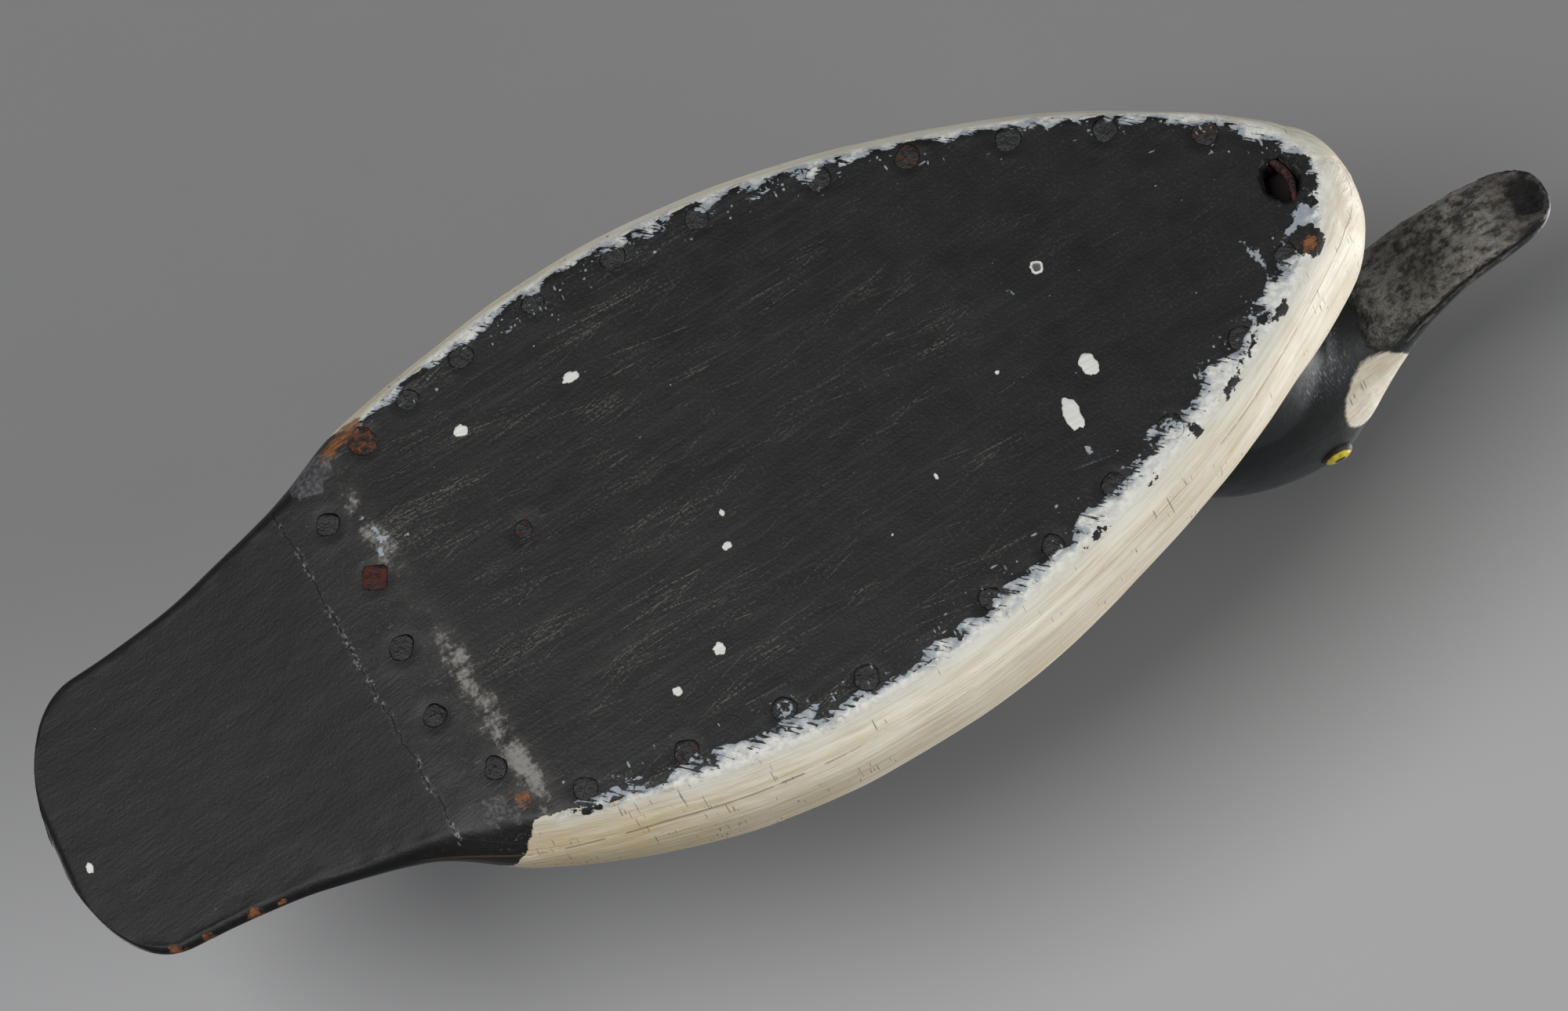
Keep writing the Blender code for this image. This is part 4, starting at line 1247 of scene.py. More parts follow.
def head_measures(item):
    """Distances that the head's paints need: from the cheek patch and from the bill's edge."""
    x, y, z = points_of(item).T
    reach = np.hypot((x - CHEEK_X) / CHEEK_HALF_LENGTH, (z - CHEEK_Z) / CHEEK_HALF_HEIGHT)
    give_attribute(item, "cheek", np.where(abs(y) > 4, (1 - reach) * CHEEK_HALF_LENGTH, FAR_OUTSIDE))
    give_attribute(item, "bill_edge", abs(z - edge_line(x)) + 40.0 * (x < 150))
    give_attribute(item, "bill", x - BILL_X - BILL_LEAN * (z - BILL_Z))


head_measures(head)
print("attributes:", [a.name for a in shell.data.attributes if not a.name.startswith(".")])

# %% [markdown]
# ## Shared paint effects
#
# Several finishes need the same things: strokes of a brush, long scratches, small specks, fine
# cracks across the grain, and an edge that is ragged instead of clean. Each is a node group
# that puts out a number, so a material can use it with its own sizes. The two that are used
# most get a short function of their own, brushed and ragged_edge.

# %% Strokes and scratches
def brush_strokes_group():
    tree, wires, given, give = new_group(
        "Brush strokes", {"Place": "vector", "Length": "value", "Width": "value", "Turn": "value"},
        {"Strokes": "value"})
    turned = wires.node("ShaderNodeVectorRotate", {"Vector": given["Place"], "Angle": given["Turn"]},
                        rotation_type="Z_AXIS")
    size = wires.node("ShaderNodeCombineXYZ", {0: given["Length"], 1: given["Width"], 2: given["Width"]})
    give("Strokes", wires.noise(wires.vector("DIVIDE", turned, size), 1.0, 3.0, 0.6))
    return tree


def brushed(wires, place, length, width, turn):
    """Strokes of a brush around 0.5, each about length by width mm."""
    return wires.group(BRUSH_STROKES, {"Place": place, "Length": length, "Width": width, "Turn": turn})


def scratches_group():
    tree, wires, given, give = new_group(
        "Long scratches", {"Place": "vector", "Turn": "value", "Length": "value", "Width": "value",
                           "Share": "value"}, {"Scratches": "value"})
    strokes = brushed(wires, given["Place"], given["Length"], given["Width"], given["Turn"])
    patches = wires.noise(wires.vector("DIVIDE", given["Place"], (3.5, 1, 1)), 9.0, 2.0)
    limit = wires.math("SUBTRACT", 0.76, wires.product(given["Share"], 0.14))
    limit = wires.math("SUBTRACT", limit, wires.product(wires.math("SUBTRACT", patches, 0.5), 0.35))
    lines = wires.ease(wires.math("SUBTRACT", strokes, limit), 0.0, 0.05)
    broken = wires.ease(wires.noise(given["Place"], 0.8, 2.0, 0.7), 0.44, 0.56)
    give("Scratches", wires.product(lines, broken))
    return tree


# %% Specks and cracks
def specks_group():
    tree, wires, given, give = new_group(
        "Specks", {"Place": "vector", "Spacing": "value", "Radius": "value", "Share": "value"},
        {"Specks": "value"})
    waver = wires.node("ShaderNodeTexNoise", {"Vector": given["Place"], "Scale": 1.1, "Detail": 1.0},
                       output="Color")
    place = wires.vector("ADD", given["Place"], wires.scaled(waver, 0.7))
    cell = wires.tree.nodes.new("ShaderNodeTexVoronoi")
    wires.tree.links.new(place, cell.inputs["Vector"])
    wires.tree.links.new(wires.math("DIVIDE", 1.0, given["Spacing"]), cell.inputs["Scale"])
    away = wires.product(cell.outputs["Distance"], given["Spacing"])
    pick = wires.node("ShaderNodeSeparateColor", {0: cell.outputs["Color"]})
    size = wires.product(given["Radius"], wires.total(0.4, pick.node.outputs[1]))
    chosen = wires.math("LESS_THAN", pick, given["Share"])
    give("Specks", wires.product(chosen, wires.ease(wires.math("SUBTRACT", size, away), -0.05, 0.07)))
    return tree


def crackle_group():
    tree, wires, given, give = new_group(
        "Crackle", {"Place": "vector", "Spacing": "value", "Share": "value"}, {"Cracks": "value"})
    across = wires.vector("DIVIDE", given["Place"], (0.16, 2.6, 2.6))
    field = wires.noise(across, given["Spacing"], 0.0)
    line = wires.ease(field, 0.735, 0.775)
    patches = wires.noise(wires.vector("ADD", given["Place"], (7, 31, 3)), 9.0, 1.0)
    limit = wires.math("SUBTRACT", 0.66, wires.product(given["Share"], 0.3))
    give("Cracks", wires.product(line, wires.ease(wires.math("SUBTRACT", patches, limit), 0.0, 0.05)))
    return tree


# %% Ragged edges
def ragged_edge_group():
    tree, wires, given, give = new_group(
        "Ragged edge", {"Place": "vector", "Distance": "value", "Size": "value", "Waver": "value",
                        "Softness": "value"}, {"Inside": "value"})
    coarse = wires.math("SUBTRACT", wires.noise(given["Place"], given["Size"], 4.0, 0.65), 0.5)
    depth = wires.total(given["Distance"], wires.product(coarse, given["Waver"], 3.0))
    softness = given["Softness"]
    give("Inside", wires.ease(depth, wires.product(softness, -1.0), softness))
    return tree


def ragged_edge(wires, place, distance, size, waver, softness):
    """1 where distance is positive, with an edge that wavers by lumps of size mm."""
    return wires.group(RAGGED_EDGE, {"Place": place, "Distance": distance, "Size": size, "Waver": waver,
                                     "Softness": softness})


BRUSH_STROKES = brush_strokes_group()
SCRATCHES = scratches_group()
SPECKS = specks_group()
CRACKLE = crackle_group()
RAGGED_EDGE = ragged_edge_group()
print("effects:", [g.name for g in bpy.data.node_groups])

# %% [markdown]
# ## Paints
#
# Old black paint is satin and nearly neutral, with fine strokes along the board and pale,
# slightly yellow scratches. Old cream paint has yellowed in streaks, most towards the tail, and
# has fine cracks across the grain. Bare wood shows orange-brown where both have gone. Rust is
# blotchy and lumpy. Each of these is a group with colour, roughness and height. The chalky
# white edge puts out where it lies, its colour and its height, because the hull and the nails
# under it share it.

# %% Black paint
PAINT_OUTPUTS = {"Colour": "colour", "Roughness": "value", "Height": "value"}


def black_paint_group():
    tree, wires, given, give = new_group(
        "Old black paint", {"Place": "vector", "Scuffed": "value"}, PAINT_OUTPUTS)
    place, scuffed = given["Place"], given["Scuffed"]
    cloud = wires.ease(wires.noise(place, 34.0, 4.0), 0.3, 0.7)
    sheen = wires.noise(place, 9.0, 4.0)
    colour = wires.blend(cloud, shade(14, 14, 14), shade(22, 22, 22))
    fine = brushed(wires, place, 22.0, 0.9, 0.1)
    colour = wires.blend(wires.ease(fine, 0.5, 0.8, 0.0, 0.16), colour, shade(54, 54, 52))
    marks = 0.0
    for turn, length, width in ((0.0, 60.0, 0.6), (0.14, 70.0, 0.5), (0.36, 30.0, 0.4), (-0.14, 50.0, 0.42)):
        lines = wires.group(SCRATCHES, {"Place": place, "Turn": turn, "Length": length, "Width": width,
                                        "Share": wires.total(scuffed, 0.30)})
        marks = wires.most(marks, lines)
    haze = brushed(wires, place, 40.0, 1.8, 0.08)
    haze = wires.product(wires.ease(haze, 0.48, 0.75), wires.math("MINIMUM", scuffed, 1.0), 0.14)
    colour = wires.blend(haze, colour, shade(104, 102, 96))
    colour = wires.blend(wires.product(marks, 0.40), colour, shade(134, 130, 118))
    grit = wires.noise(place, 0.8, 3.0, 0.7)
    dusty = wires.product(wires.ease(grit, 0.52, 0.68), wires.ease(sheen, 0.35, 0.65), 0.30)
    colour = wires.blend(dusty, colour, shade(72, 72, 70))
    dust = wires.group(SPECKS, {"Place": place, "Spacing": 4.2, "Radius": 0.17, "Share": 0.30})
    crumbs = wires.group(SPECKS, {"Place": wires.vector("ADD", place, (3, 50, 9)), "Spacing": 13.0,
                                  "Radius": 0.34, "Share": 0.35})
    dust = wires.most(wires.product(dust, 0.5), crumbs)
    colour = wires.blend(wires.product(dust, 0.85), colour, shade(200, 200, 196))
    roughness = wires.total(wires.ease(sheen, 0.3, 0.7, 0.42, 0.54), wires.product(marks, 0.2))
    height = wires.total(wires.product(fine, 0.07), wires.product(grit, 0.09), wires.product(sheen, 0.12))
    give("Colour", colour)
    give("Roughness", roughness)
    give("Height", height)
    return tree


# %% Cream paint
def cream_paint_group():
    tree, wires, given, give = new_group(
        "Old cream paint", {"Place": "vector", "Across": "vector", "Aged": "value", "Cracked": "value"},
        PAINT_OUTPUTS)
    place, aged = given["Place"], given["Aged"]
    streaks = brushed(wires, place, 26.0, 1.8, 0.0)
    thin_streaks = brushed(wires, place, 14.0, 0.5, 0.02)
    cloud = wires.noise(place, 14.0, 3.0)
    yellowing = wires.total(wires.product(wires.ease(streaks, 0.35, 0.70), 0.40),
                            wires.product(wires.ease(cloud, 0.35, 0.7), 0.18), wires.product(aged, 0.70))
    colour = wires.blend(wires.math("MINIMUM", yellowing, 1.0), shade(236, 231, 216), shade(190, 175, 142))
    ochre = wires.product(wires.ease(thin_streaks, 0.52, 0.72),
                          wires.ease(wires.total(cloud, aged), 0.4, 0.9), 0.60)
    colour = wires.blend(ochre, colour, shade(196, 162, 106))
    grime = wires.ease(brushed(wires, wires.vector("ADD", place, (3, 3, 3)), 9.0, 0.7, 0.0), 0.62, 0.78)
    colour = wires.blend(wires.product(grime, 0.30), colour, shade(128, 118, 100))
    cracks = wires.group(CRACKLE, {"Place": given["Across"], "Spacing": 1.9, "Share": given["Cracked"]})
    colour = wires.blend(wires.product(cracks, 0.75), colour, shade(78, 62, 44))
    give("Colour", colour)
    give("Roughness", wires.ease(cloud, 0.3, 0.7, 0.42, 0.58))
    give("Height", wires.total(wires.product(streaks, 0.30), wires.product(thin_streaks, 0.14),
                               wires.product(cracks, -0.12), wires.product(cloud, 0.3)))
    return tree


# %% Bare wood and rust
def bare_wood_group():
    tree, wires, given, give = new_group("Bare wood", {"Place": "vector"}, PAINT_OUTPUTS)
    grain = brushed(wires, given["Place"], 12.0, 0.55, 0.0)
    cloud = wires.noise(given["Place"], 5.0, 3.0)
    colour = wires.blend(wires.ease(grain, 0.35, 0.65), shade(74, 46, 30), shade(146, 94, 56))
    colour = wires.blend(wires.ease(cloud, 0.5, 0.75, 0.0, 0.7), colour, shade(60, 38, 26))
    give("Colour", colour)
    give("Roughness", wires.ease(grain, 0.3, 0.7, 0.62, 0.85))
    give("Height", wires.product(grain, 0.5))
    return tree


def rust_group():
    tree, wires, given, give = new_group(
        "Rust", {"Place": "vector", "Dark": "colour", "Bright": "colour"}, PAINT_OUTPUTS)
    blotch = wires.noise(given["Place"], 1.8, 5.0, 0.65)
    fine = wires.noise(wires.vector("ADD", given["Place"], (9, 2, 4)), 0.5, 3.0, 0.7)
    give("Colour", wires.blend(wires.ease(wires.total(blotch, wires.product(fine, 0.4)), 0.6, 0.85),
                               given["Dark"], given["Bright"]))
    give("Roughness", wires.ease(blotch, 0.35, 0.65, 0.45, 0.85))
    give("Height", wires.total(wires.product(blotch, 0.45), wires.product(fine, 0.16)))
    return tree


# %% Chalky white edge
def chalk_group():
    tree, wires, given, give = new_group(
        "Chalky white edge", {"Place": "vector", "Rim": "value", "Width": "value"},
        {"Share": "value", "Colour": "colour", "Height": "value"})
    place, rim, width = given["Place"], given["Rim"], given["Width"]
    stretched = wires.vector("DIVIDE", place, (1.5, 1, 1))
    scallops = wires.math("SUBTRACT", wires.noise(stretched, 5.5, 3.0, 0.5), 0.5)
    depth = wires.total(wires.product(width, 0.62), wires.product(rim, -1.0), wires.product(scallops, 17.0))
    band = wires.ease(depth, -0.08, 0.08)
    grain = wires.noise(place, 1.6, 4.0, 0.65)
    blotches = wires.noise(place, 4.5, 3.0, 0.6)
    gaps = wires.ease(wires.total(blotches, wires.product(depth, 0.02)), 0.37, 0.40)
    over_side = wires.ease(rim, -4.0, 0.5)
    wanted = wires.ease(width, 0.5, 1.5)
    dragged = brushed(wires, place, 5.0, 0.8, -0.7)
    thin = wires.ease(wires.total(depth, wires.product(wires.math("SUBTRACT", blotches, 0.5), 9.0)), 3.3, 0.5)
    torn = wires.ease(wires.total(dragged, wires.product(depth, 0.035)), 0.44, 0.50)
    colour = wires.blend(wires.ease(grain, 0.35, 0.65), shade(186, 187, 183), shade(216, 215, 208))
    colour = wires.blend(wires.product(thin, 0.8), colour, shade(128, 139, 150))
    flecks = 0.0
    zone = wires.product(wires.ease(rim, 12.0, 1.0), wires.ease(width, 0.6, 3.0), 0.75)
    clumps = wires.ease(wires.noise(place, 7.0, 2.0), 0.46, 0.58)
    for stretch, spacing, radius in (((0.7, 1.9, 1), 1.7, 0.36), ((1.8, 0.6, 1), 2.1, 0.40),
                                     ((1, 1, 1), 1.3, 0.3)):
        specks = wires.group(SPECKS, {"Place": wires.vector("DIVIDE", place, stretch), "Spacing": spacing,
                                      "Radius": radius, "Share": zone})
        flecks = wires.most(flecks, specks)
    flecks = wires.product(flecks, clumps, wires.ease(rim, -0.5, 0.5), 0.85)
    give("Share", wires.most(wires.product(band, over_side, wanted, gaps, torn, 0.95), flecks))
    give("Colour", colour)
    give("Height", wires.total(wires.product(grain, 0.30), 0.20))
    return tree


BLACK_PAINT = black_paint_group()
CREAM_PAINT = cream_paint_group()
BARE_WOOD_FINISH = bare_wood_group()
RUST = rust_group()
CHALK = chalk_group()
print("finishes:", [g.name for g in bpy.data.node_groups][-5:])


# %% Layering one finish over another
class Finish:
    """Colour, roughness and height on one place, to be covered by further layers."""

    def __init__(self, wires, layer):
        self.wires = wires
        self.colour, self.roughness, self.height = layer

    def cover(self, share, layer, thickness=None):
        """Lays another finish over this one where share is 1; only a thickness changes the relief."""
        colour, roughness, height = layer
        self.colour = self.wires.blend(share, self.colour, colour)
        self.roughness = self.wires.between(share, self.roughness, roughness)
        if thickness is not None:
            self.height = self.wires.between(share, self.height, self.wires.total(height, thickness))


def layer(wires, group, inputs):
    outputs = wires.group(group, inputs, output=None)
    return outputs["Colour"], outputs["Roughness"], outputs["Height"]


# %% [markdown]
# ## Paint of the hull
#
# Board and shell carry the same coats: black below, cream on the sides, black on the back and
# rump. The white was brushed on last along the rim, so it lies over the black in a chalky,
# ragged band that is bluish where it is thin, with flecks beyond it. Along the ridge and the
# seam the black is rubbed through to pale crumbs, and at a few corners everything is gone down
# to grey undercoat or bare wood.
# Behind the seam the tail's black is darkened further as painted shade.

# %% Hull material
def hull_material(name, worn):
    material, wires, shader, place = new_material(name)
    rim, chalk = wires.attribute("rim"), wires.attribute("chalk")
    lay = wires.attribute("lay", "Vector")
    scuffed = wires.attribute("scuffed")
    hull = Finish(wires, layer(wires, BLACK_PAINT, {"Place": place, "Scuffed": wires.product(scuffed, worn)}))

    # Painted shade: behind the seam the tail's black is darkened further, because the tail tilts towards the
    # key light.
    tail_painted_shade = wires.ease(wires.axis(place, 0), -106.0, -116.0)
    hull.cover(wires.product(tail_painted_shade, 0.60), (shade(6, 6, 6), 0.5, 0.0))
    worn_ridge = wires.attribute("ridge")
    rub = brushed(wires, place, 8.0, 0.7, 0.1)
    crumbly = wires.noise(place, 1.1, 4.0, 0.7)
    blotchy = wires.noise(place, 6.0, 3.0, 0.6)
    rubbed = wires.total(wires.product(worn_ridge, 0.46), wires.product(crumbly, 0.75),
                         wires.product(rub, 0.25), wires.product(blotchy, 0.9))
    hull.cover(wires.product(wires.ease(rubbed, 1.20, 1.50), wires.ease(worn_ridge, 0.05, 0.45), 0.75),
               (shade(150, 147, 142), 0.8, crumbly))
    hull.cover(wires.product(worn_ridge, wires.ease(blotchy, 0.35, 0.6), 0.22),
               (shade(108, 102, 96), 0.7, crumbly))
    seam_away = wires.math("ABSOLUTE", wires.attribute("seam"))
    seam_crumbs = wires.product(wires.ease(seam_away, 1.3, 0.2), wires.ease(crumbly, 0.50, 0.64),
                                wires.ease(blotchy, 0.44, 0.56))
    hull.cover(wires.product(seam_crumbs, 0.7), (shade(150, 150, 148), 0.8, crumbly))

    lifted = wires.math("SUBTRACT", 0.0, rim)
    is_side = ragged_edge(wires, place, lifted, 5.0, 1.6, 0.12)
    cream = layer(wires, CREAM_PAINT, {"Place": lay, "Across": place, "Aged": wires.attribute("aged"),
                                        "Cracked": wires.ease(wires.attribute("aged"), 0.0, 0.9, 0.15, 0.75)})
    dark_side = ragged_edge(wires, place, wires.attribute("dark_side"), 7.0, 1.6, 0.2)
    light_side = wires.math("SUBTRACT", 1.0, dark_side)
    hull.cover(wires.product(is_side, light_side), cream, 0.15)
    hull.cover(wires.product(wires.ease(rim, -9.0, -1.0), is_side, light_side, 0.35),
               (shade(160, 166, 168), 0.6, 0.0))
    above_joint = wires.math("SUBTRACT", wires.axis(place, 2), BOARD_THICKNESS)
    split = wires.ease(wires.math("ABSOLUTE", above_joint), 0.4, 0.12)
    split = wires.product(split, wires.ease(blotchy, 0.40, 0.52), wires.ease(rim, -3.0, -6.0),
                          wires.ease(wires.attribute("aged"), 0.1, 0.4))
    hull.cover(wires.product(split, 0.6), (shade(96, 74, 52), 0.8, 0.0))

    chalky = wires.group(CHALK, {"Place": place, "Rim": rim, "Width": chalk}, output=None)
    hull.cover(chalky["Share"], (chalky["Colour"], 0.72, chalky["Height"]), 0.0)
    white_dab = ragged_edge(wires, place, wires.attribute("white_dab"), 2.4, 1.6, 0.12)
    hull.cover(wires.product(white_dab, 0.9), (chalky["Colour"], 0.7, 0.5), 0.1)
    black_dab = ragged_edge(wires, place, wires.attribute("black_dab"), 2.2, 1.5, 0.10)
    hull.cover(black_dab, layer(wires, BLACK_PAINT, {"Place": place, "Scuffed": 0.0}), 0.5)

    bare = ragged_edge(wires, place, wires.attribute("bare"), 3.5, 3.0, 0.5)
    hull.cover(wires.product(bare, 0.85), layer(wires, BARE_WOOD_FINISH, {"Place": place}), -0.2)
    undercoat = ragged_edge(wires, place, wires.attribute("undercoat"), 4.0, 2.6, 0.3)
    grey = wires.blend(wires.ease(crumbly, 0.4, 0.65), shade(54, 54, 56), shade(94, 94, 95))
    hull.cover(wires.product(undercoat, 0.8), (grey, 0.7, crumbly))
    nail_near = wires.attribute("nail_near")
    ring = wires.product(wires.ease(nail_near, 2.8, 3.3), wires.ease(nail_near, 5.2, 3.6))
    ring = wires.product(ring, wires.ease(wires.noise(place, 2.2, 3.0), 0.35, 0.55),
                         wires.ease(rim, 0.0, 1.0))
    hull.cover(wires.product(ring, 0.35), (shade(18, 17, 16), 0.5, 0.1))
    inside = wires.ease(wires.attribute("inside"), 1.0, 1.8)
    grain = brushed(wires, place, 14.0, 0.8, 0.0)
    # Painted shade: inside the staple's pocket the wood is painted nearly black, as the shade that falls in
    # the recess.
    pocket_painted_shade = wires.ease(wires.axis(place, 0), 124.0, 125.0)
    raw_wood = wires.blend(grain, shade(34, 24, 18), shade(92, 70, 50))
    hull.cover(inside, (wires.blend(pocket_painted_shade, raw_wood, shade(21, 16, 14)), 0.85, 0.0))
    finish_shader(wires, shader, hull.colour, hull.roughness, hull.height)
    shader.inputs["Specular IOR Level"].default_value = 0.28
    return material


shell_paint = hull_material("shell_paint", 0.6)
board_paint = hull_material("board_paint", 1.0)


def dress(item, material, replaced, sharp_degrees=40):
    """Gives a finished piece its material, the node that it replaces and its body."""
    item.data.materials.clear()
    item.data.materials.append(material)
    item.data.shade_smooth()
    item.data.set_sharp_from_angle(angle=math.radians(sharp_degrees))
    if replaced:
        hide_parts(replaced)
    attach(item, "root")


dress(shell, shell_paint, "body_shell")
dress(board, board_paint, "bottom_board")
print("hull paint:", len(shell_paint.node_tree.nodes), "nodes")

# %% [markdown]
# ## Paint of the head
#
# The head is nearly black with a green cast, with a cream patch on each cheek. The patch has
# an edge of fine hairs, and a nearly dry brush left a few pale strokes below it, towards the
# neck. The bill is worn to a grey-brown on its carved underside, lighter on the raised parts of
# its gouges, partly as painted highlight. It is darker along its cutting edge and towards the
# tip, where the darkening is partly its own paint and partly painted shade in the hollow under
# the tip, with orange wood at the very end. Beside the cutting edge a pale band is partly
# rubbed paint and partly a painted highlight.

# %% Head material
def head_material():
    material, wires, shader, place = new_material("head_paint")
    head_coat = Finish(wires, layer(wires, BLACK_PAINT, {"Place": place, "Scuffed": -0.1}))
    head_coat.colour = wires.blend(0.55, head_coat.colour, shade(10, 17, 18))
    bill = ragged_edge(wires, place, wires.attribute("bill"), 8.0, 3.0, 3.5)
    facing = wires.axis(wires.node("ShaderNodeNewGeometry", output="Normal"), 2)
    below = wires.ease(facing, -0.35, -0.75)
    gouge = wires.noise(wires.vector("DIVIDE", place, (1.6, 1.0, 1.0)), 2.0, 5.0, 0.7)
    pale = wires.noise(place, 13.0, 2.0)
    forward, height = wires.axis(place, 0), wires.axis(place, 2)
    # The tone follows the gouges' relief and is lighter on their raised parts: partly the worn wood's own
    # tone and partly painted highlights on the tool marks.
    gouge_tone_and_highlight = wires.total(wires.product(pale, 0.45), wires.product(gouge, 1.1))
    worn_tone = wires.blend(wires.ease(gouge_tone_and_highlight, 0.62, 0.92), shade(66, 64, 59), shade(162, 158, 148))
    # Darker towards the tip: partly the bill's own darker paint there and partly painted shade in the hollow
    # under the tip.
    worn_tone = wires.blend(wires.ease(forward, 178.0, 189.0, 0.0, 0.75), worn_tone, shade(48, 44, 40))
    head_coat.cover(wires.product(bill, below), (worn_tone, 0.48, wires.product(gouge, 4.2)), 0.0)
    edge = wires.attribute("bill_edge")
    head_coat.cover(wires.ease(edge, 1.0, 0.5), (shade(14, 13, 12), 0.5, 0.0))
    # The pale band beside the cutting edge is partly rubbed paint and partly a painted highlight along the
    # edge.
    rubbed = wires.product(wires.ease(edge, 2.2, 1.3), wires.ease(edge, 0.8, 1.2),
                           wires.ease(wires.noise(place, 4.0, 4.0), 0.5, 0.62))
    head_coat.cover(wires.product(rubbed, 0.55), (shade(140, 126, 118), 0.6, 0.4))
    tip = wires.product(wires.ease(forward, 188.0, 196.0),
                        wires.ease(wires.noise(place, 2.5, 4.0), 0.5, 0.62))
    head_coat.cover(wires.product(tip, wires.ease(facing, -0.8, -0.2), 0.7),
                    layer(wires, BARE_WOOD_FINISH, {"Place": place}))

    cheek = wires.attribute("cheek")
    hairs = wires.vector("DIVIDE", place, (3.0, 1.0, 0.6))
    patch = ragged_edge(wires, hairs, cheek, 1.6, 0.7, 0.5)
    cheek_paint = layer(wires, CREAM_PAINT, {"Place": place, "Across": place, "Aged": 0.25, "Cracked": 0.2})
    head_coat.cover(patch, cheek_paint, 0.15)
    smear = brushed(wires, wires.vector("DIVIDE", place, (0.35, 1.0, 4.0)), 1.0, 1.0, 0.0)
    zone = wires.product(wires.ease(height, 96.0, 92.0), wires.ease(height, 82.0, 87.0),
                         wires.ease(forward, 117.0, 123.0), wires.ease(forward, 138.0, 132.0))
    head_coat.cover(wires.product(zone, wires.ease(smear, 0.54, 0.68), 0.6), (shade(150, 160, 178), 0.6, 0.6))
    finish_shader(wires, shader, head_coat.colour, head_coat.roughness, head_coat.height)
    return material


dress(head, head_material(), "head")
print("head paint:", len(head.data.materials[0].node_tree.nodes), "nodes")


# %% [markdown]
# ## Eyes
#
# The enamel is glossy: a clear coat over bright yellow, with a round black pupil that was
# dotted by hand and a thin brown ring where the tack's rust shows at the lip.

# %% Eye material
def eye_material(name, side):
    material, wires, shader, place = new_material(name)
    centre = eye_matrix(side) @ Vector((0, 0, EYE_DOME * MM)) / MM
    away = wires.node("ShaderNodeVectorMath", {0: place, 1: centre}, operation="DISTANCE", output="Value")
    wobble = wires.product(wires.math("SUBTRACT", wires.noise(place, 1.6, 2.0), 0.5), 0.9)
    away = wires.total(away, wobble)
    strokes = wires.noise(place, 1.2, 3.0)
    colour = wires.blend(wires.ease(strokes, 0.35, 0.65), shade(196, 168, 18), shade(238, 218, 52))
    colour = wires.blend(wires.ease(away, 3.5, 4.0), colour, shade(34, 22, 16))
    colour = wires.blend(wires.ease(away, 1.65, 1.4), colour, shade(72, 38, 30))
    colour = wires.blend(wires.ease(away, 1.45, 1.2), colour, shade(12, 12, 12))
    ring = wires.ease(away, 3.3, 3.6)
    roughness = wires.between(ring, wires.ease(strokes, 0.3, 0.7, 0.14, 0.30), 0.6)
    finish_shader(wires, shader, colour, roughness, wires.product(strokes, 0.12))
    wires.tree.links.new(wires.product(wires.math("SUBTRACT", 1.0, ring), 0.35), shader.inputs["Coat Weight"])
    shader.inputs["Coat Roughness"].default_value = 0.08
    return material


for name, side in (("left", 1), ("right", -1)):
    dress(eyes[name], eye_material(f"eye_enamel_{name}", side), f"eye_{name}")

# %% [markdown]
# ## Iron and steel
#
# Most nail heads are still under black paint with brown breaking through, a few are rusty, two
# are dabbed with white, and the square one is reddish. The staple is dark, glossy, purplish
# rust. The neck screw never saw weather, so it is steel with turned marks and a little brown.

# %% Iron materials
def iron_material(name, dark, bright, paint_left, rough_shift=0.0, white=0.0):
    material, wires, shader, place = new_material(name)
    iron = Finish(wires, layer(wires, RUST, {"Place": place, "Dark": dark, "Bright": bright}))
    flakes = wires.noise(place, 2.4, 4.0, 0.65)
    coat = wires.ease(wires.total(flakes, paint_left - 0.5), 0.46, 0.52)
    iron.cover(coat, layer(wires, BLACK_PAINT, {"Place": place, "Scuffed": -0.3}), 0.3)
    iron.height = wires.total(iron.height, wires.product(flakes, 1.3))
    chalky = wires.group(CHALK, {"Place": place, "Rim": wires.attribute("rim"),
                                 "Width": wires.attribute("chalk")}, output=None)
    iron.cover(chalky["Share"], (chalky["Colour"], 0.72, chalky["Height"]), 0.0)
    if white:
        dabbed = wires.ease(wires.noise(place, 1.5, 4.0, 0.65), 0.62 - white, 0.66 - white)
        iron.cover(wires.product(dabbed, wires.ease(wires.attribute("off_centre"), 2.3, 1.8)),
                   (chalky["Colour"], 0.7, chalky["Height"]), 0.0)
    metallic = wires.product(wires.math("SUBTRACT", 1.0, coat), 0.35)
    finish_shader(wires, shader, iron.colour, wires.total(iron.roughness, rough_shift), iron.height, metallic)
    return material


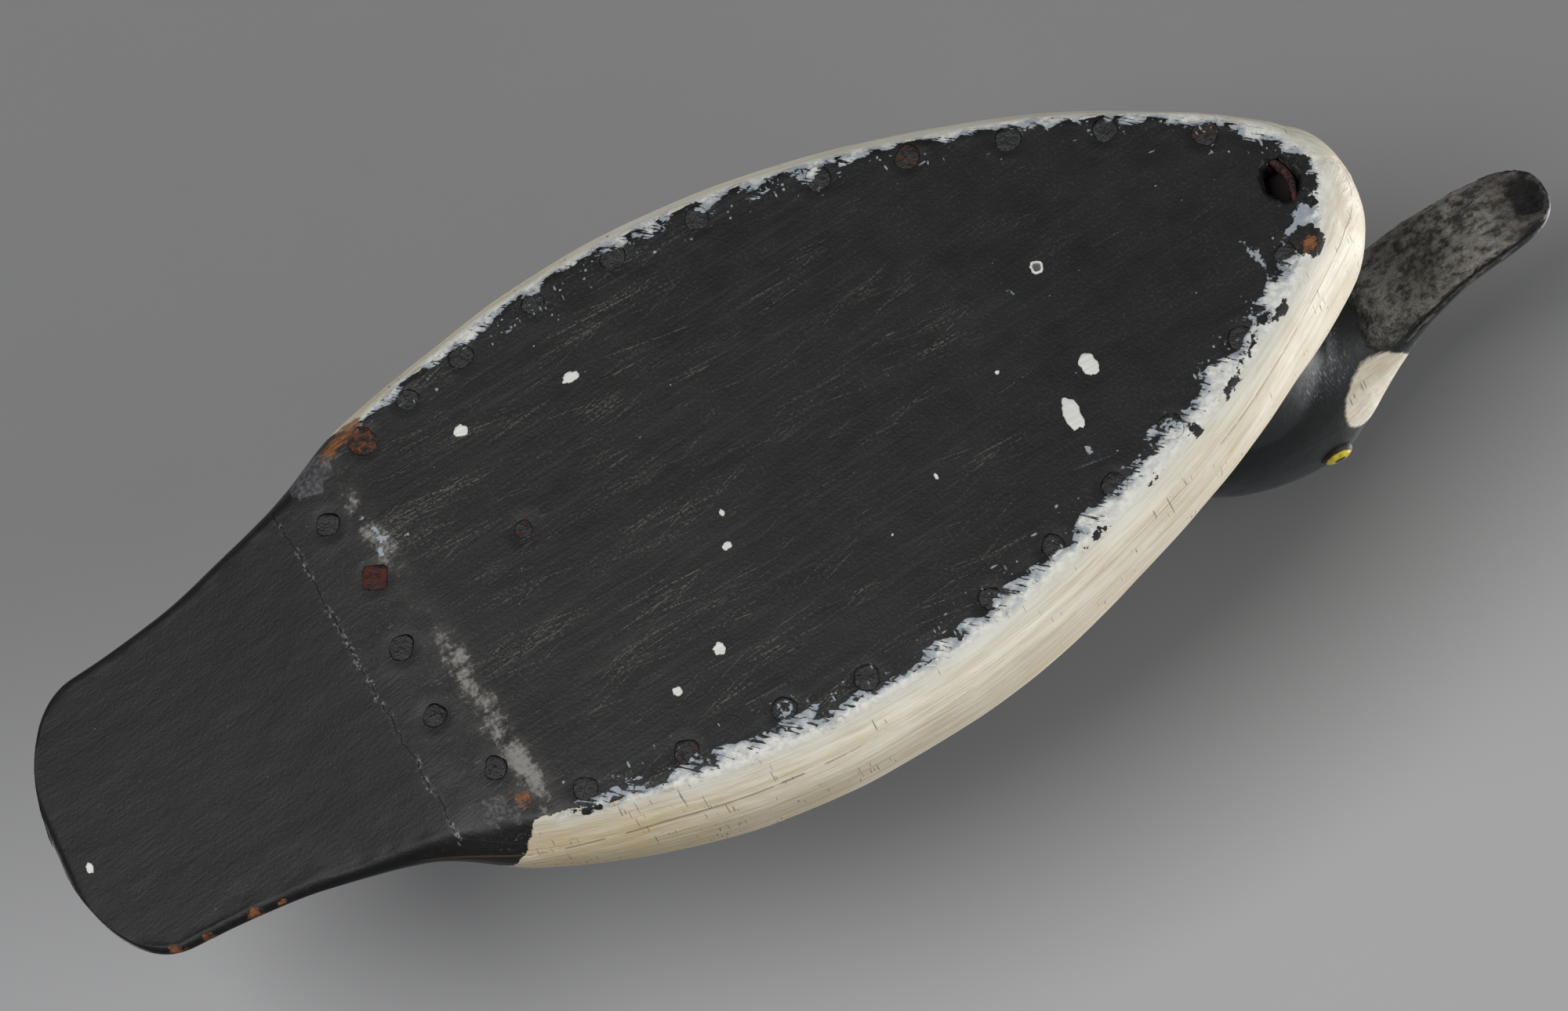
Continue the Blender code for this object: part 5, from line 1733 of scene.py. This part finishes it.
painted_iron = iron_material("painted_iron", shade(26, 22, 20), shade(60, 44, 34), 0.86)
white_iron = iron_material("white_iron", shade(26, 22, 20), shade(60, 44, 34), 0.90, 0.0, 0.14)
rusty_iron = iron_material("rusty_iron", shade(38, 25, 19), shade(88, 52, 36), 0.54)
orange_iron = iron_material("orange_iron", shade(40, 27, 21), shade(120, 70, 42), 0.40)
red_iron = iron_material("red_iron", shade(46, 20, 16), shade(88, 38, 28), 0.40)
dark_wire = iron_material("dark_wire", shade(24, 15, 15), shade(78, 40, 34), 0.34, -0.22)
WHITE_NAILS = {"nail_left_03", "nail_left_08"}
RUSTY_NAILS = {"nail_left_02", "nail_right_08", "nail_right_11", "nail_cross_06"}
for name, item in nail_objects.items():
    material = rusty_iron if name in RUSTY_NAILS else white_iron if name in WHITE_NAILS else painted_iron
    if name == SQUARE_NAIL:
        material = red_iron
    if name == BIG_RUSTY_NAIL:
        material = orange_iron
    points = points_of(item)
    give_attribute(item, "rim", flat_half_width(points[:, 0]) - abs(points[:, 1]))
    give_attribute(item, "chalk", (CHALK_LEFT if NAILS[name][1] > 0 else CHALK_RIGHT)(points[:, 0]))
    give_attribute(item, "off_centre", np.hypot(*(points[:, :2] - NAILS[name]).T))
    dress(item, material, name, 50)
dress(staple, dark_wire, "line_tie", 60)
print("rusty:", len(RUSTY_NAILS), "dabbed with white:", len(WHITE_NAILS), "of", len(NAILS), "nails")


# %% Neck screw and paint drops
def screw_material():
    material, wires, shader, place = new_material("screw_steel")
    turned = brushed(wires, place, 6.0, 0.4, 0.0)
    steel = Finish(wires, (wires.blend(turned, shade(120, 118, 112), shade(176, 173, 166)),
                           wires.ease(turned, 0.3, 0.7, 0.3, 0.5), wires.product(turned, 0.1)))
    spots = wires.ease(wires.noise(place, 3.0, 4.0), 0.52, 0.6)
    light_rust = layer(wires, RUST, {"Place": place, "Dark": shade(70, 44, 30), "Bright": shade(132, 84, 50)})
    steel.cover(spots, light_rust)
    metallic = wires.math("SUBTRACT", 0.9, wires.product(spots, 0.7))
    finish_shader(wires, shader, steel.colour, steel.roughness, steel.height, metallic)
    return material


def drop_material():
    material, wires, shader, place = new_material("white_drops")
    cream = layer(wires, CREAM_PAINT, {"Place": place, "Across": place, "Aged": 0.0, "Cracked": 0.2})
    colour = wires.blend(0.6, cream[0], shade(190, 194, 198))
    colour = wires.blend(wires.product(wires.attribute("broken_out"), 0.9), colour, shade(24, 24, 25))
    finish_shader(wires, shader, colour, cream[1], cream[2])
    return material


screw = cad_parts["neck_screw"]
screw.data.materials.clear()
screw.data.materials.append(screw_material())
drop_paint = drop_material()
inner = np.repeat(np.arange(RINGS_IN_ALL) < RINGS_IN_MIDDLE, DROP_SIDES)
for item, broken in zip(drops, broken_out):
    give_attribute(item, "broken_out", inner * (broken > 0.5))
    dress(item, drop_paint, None)
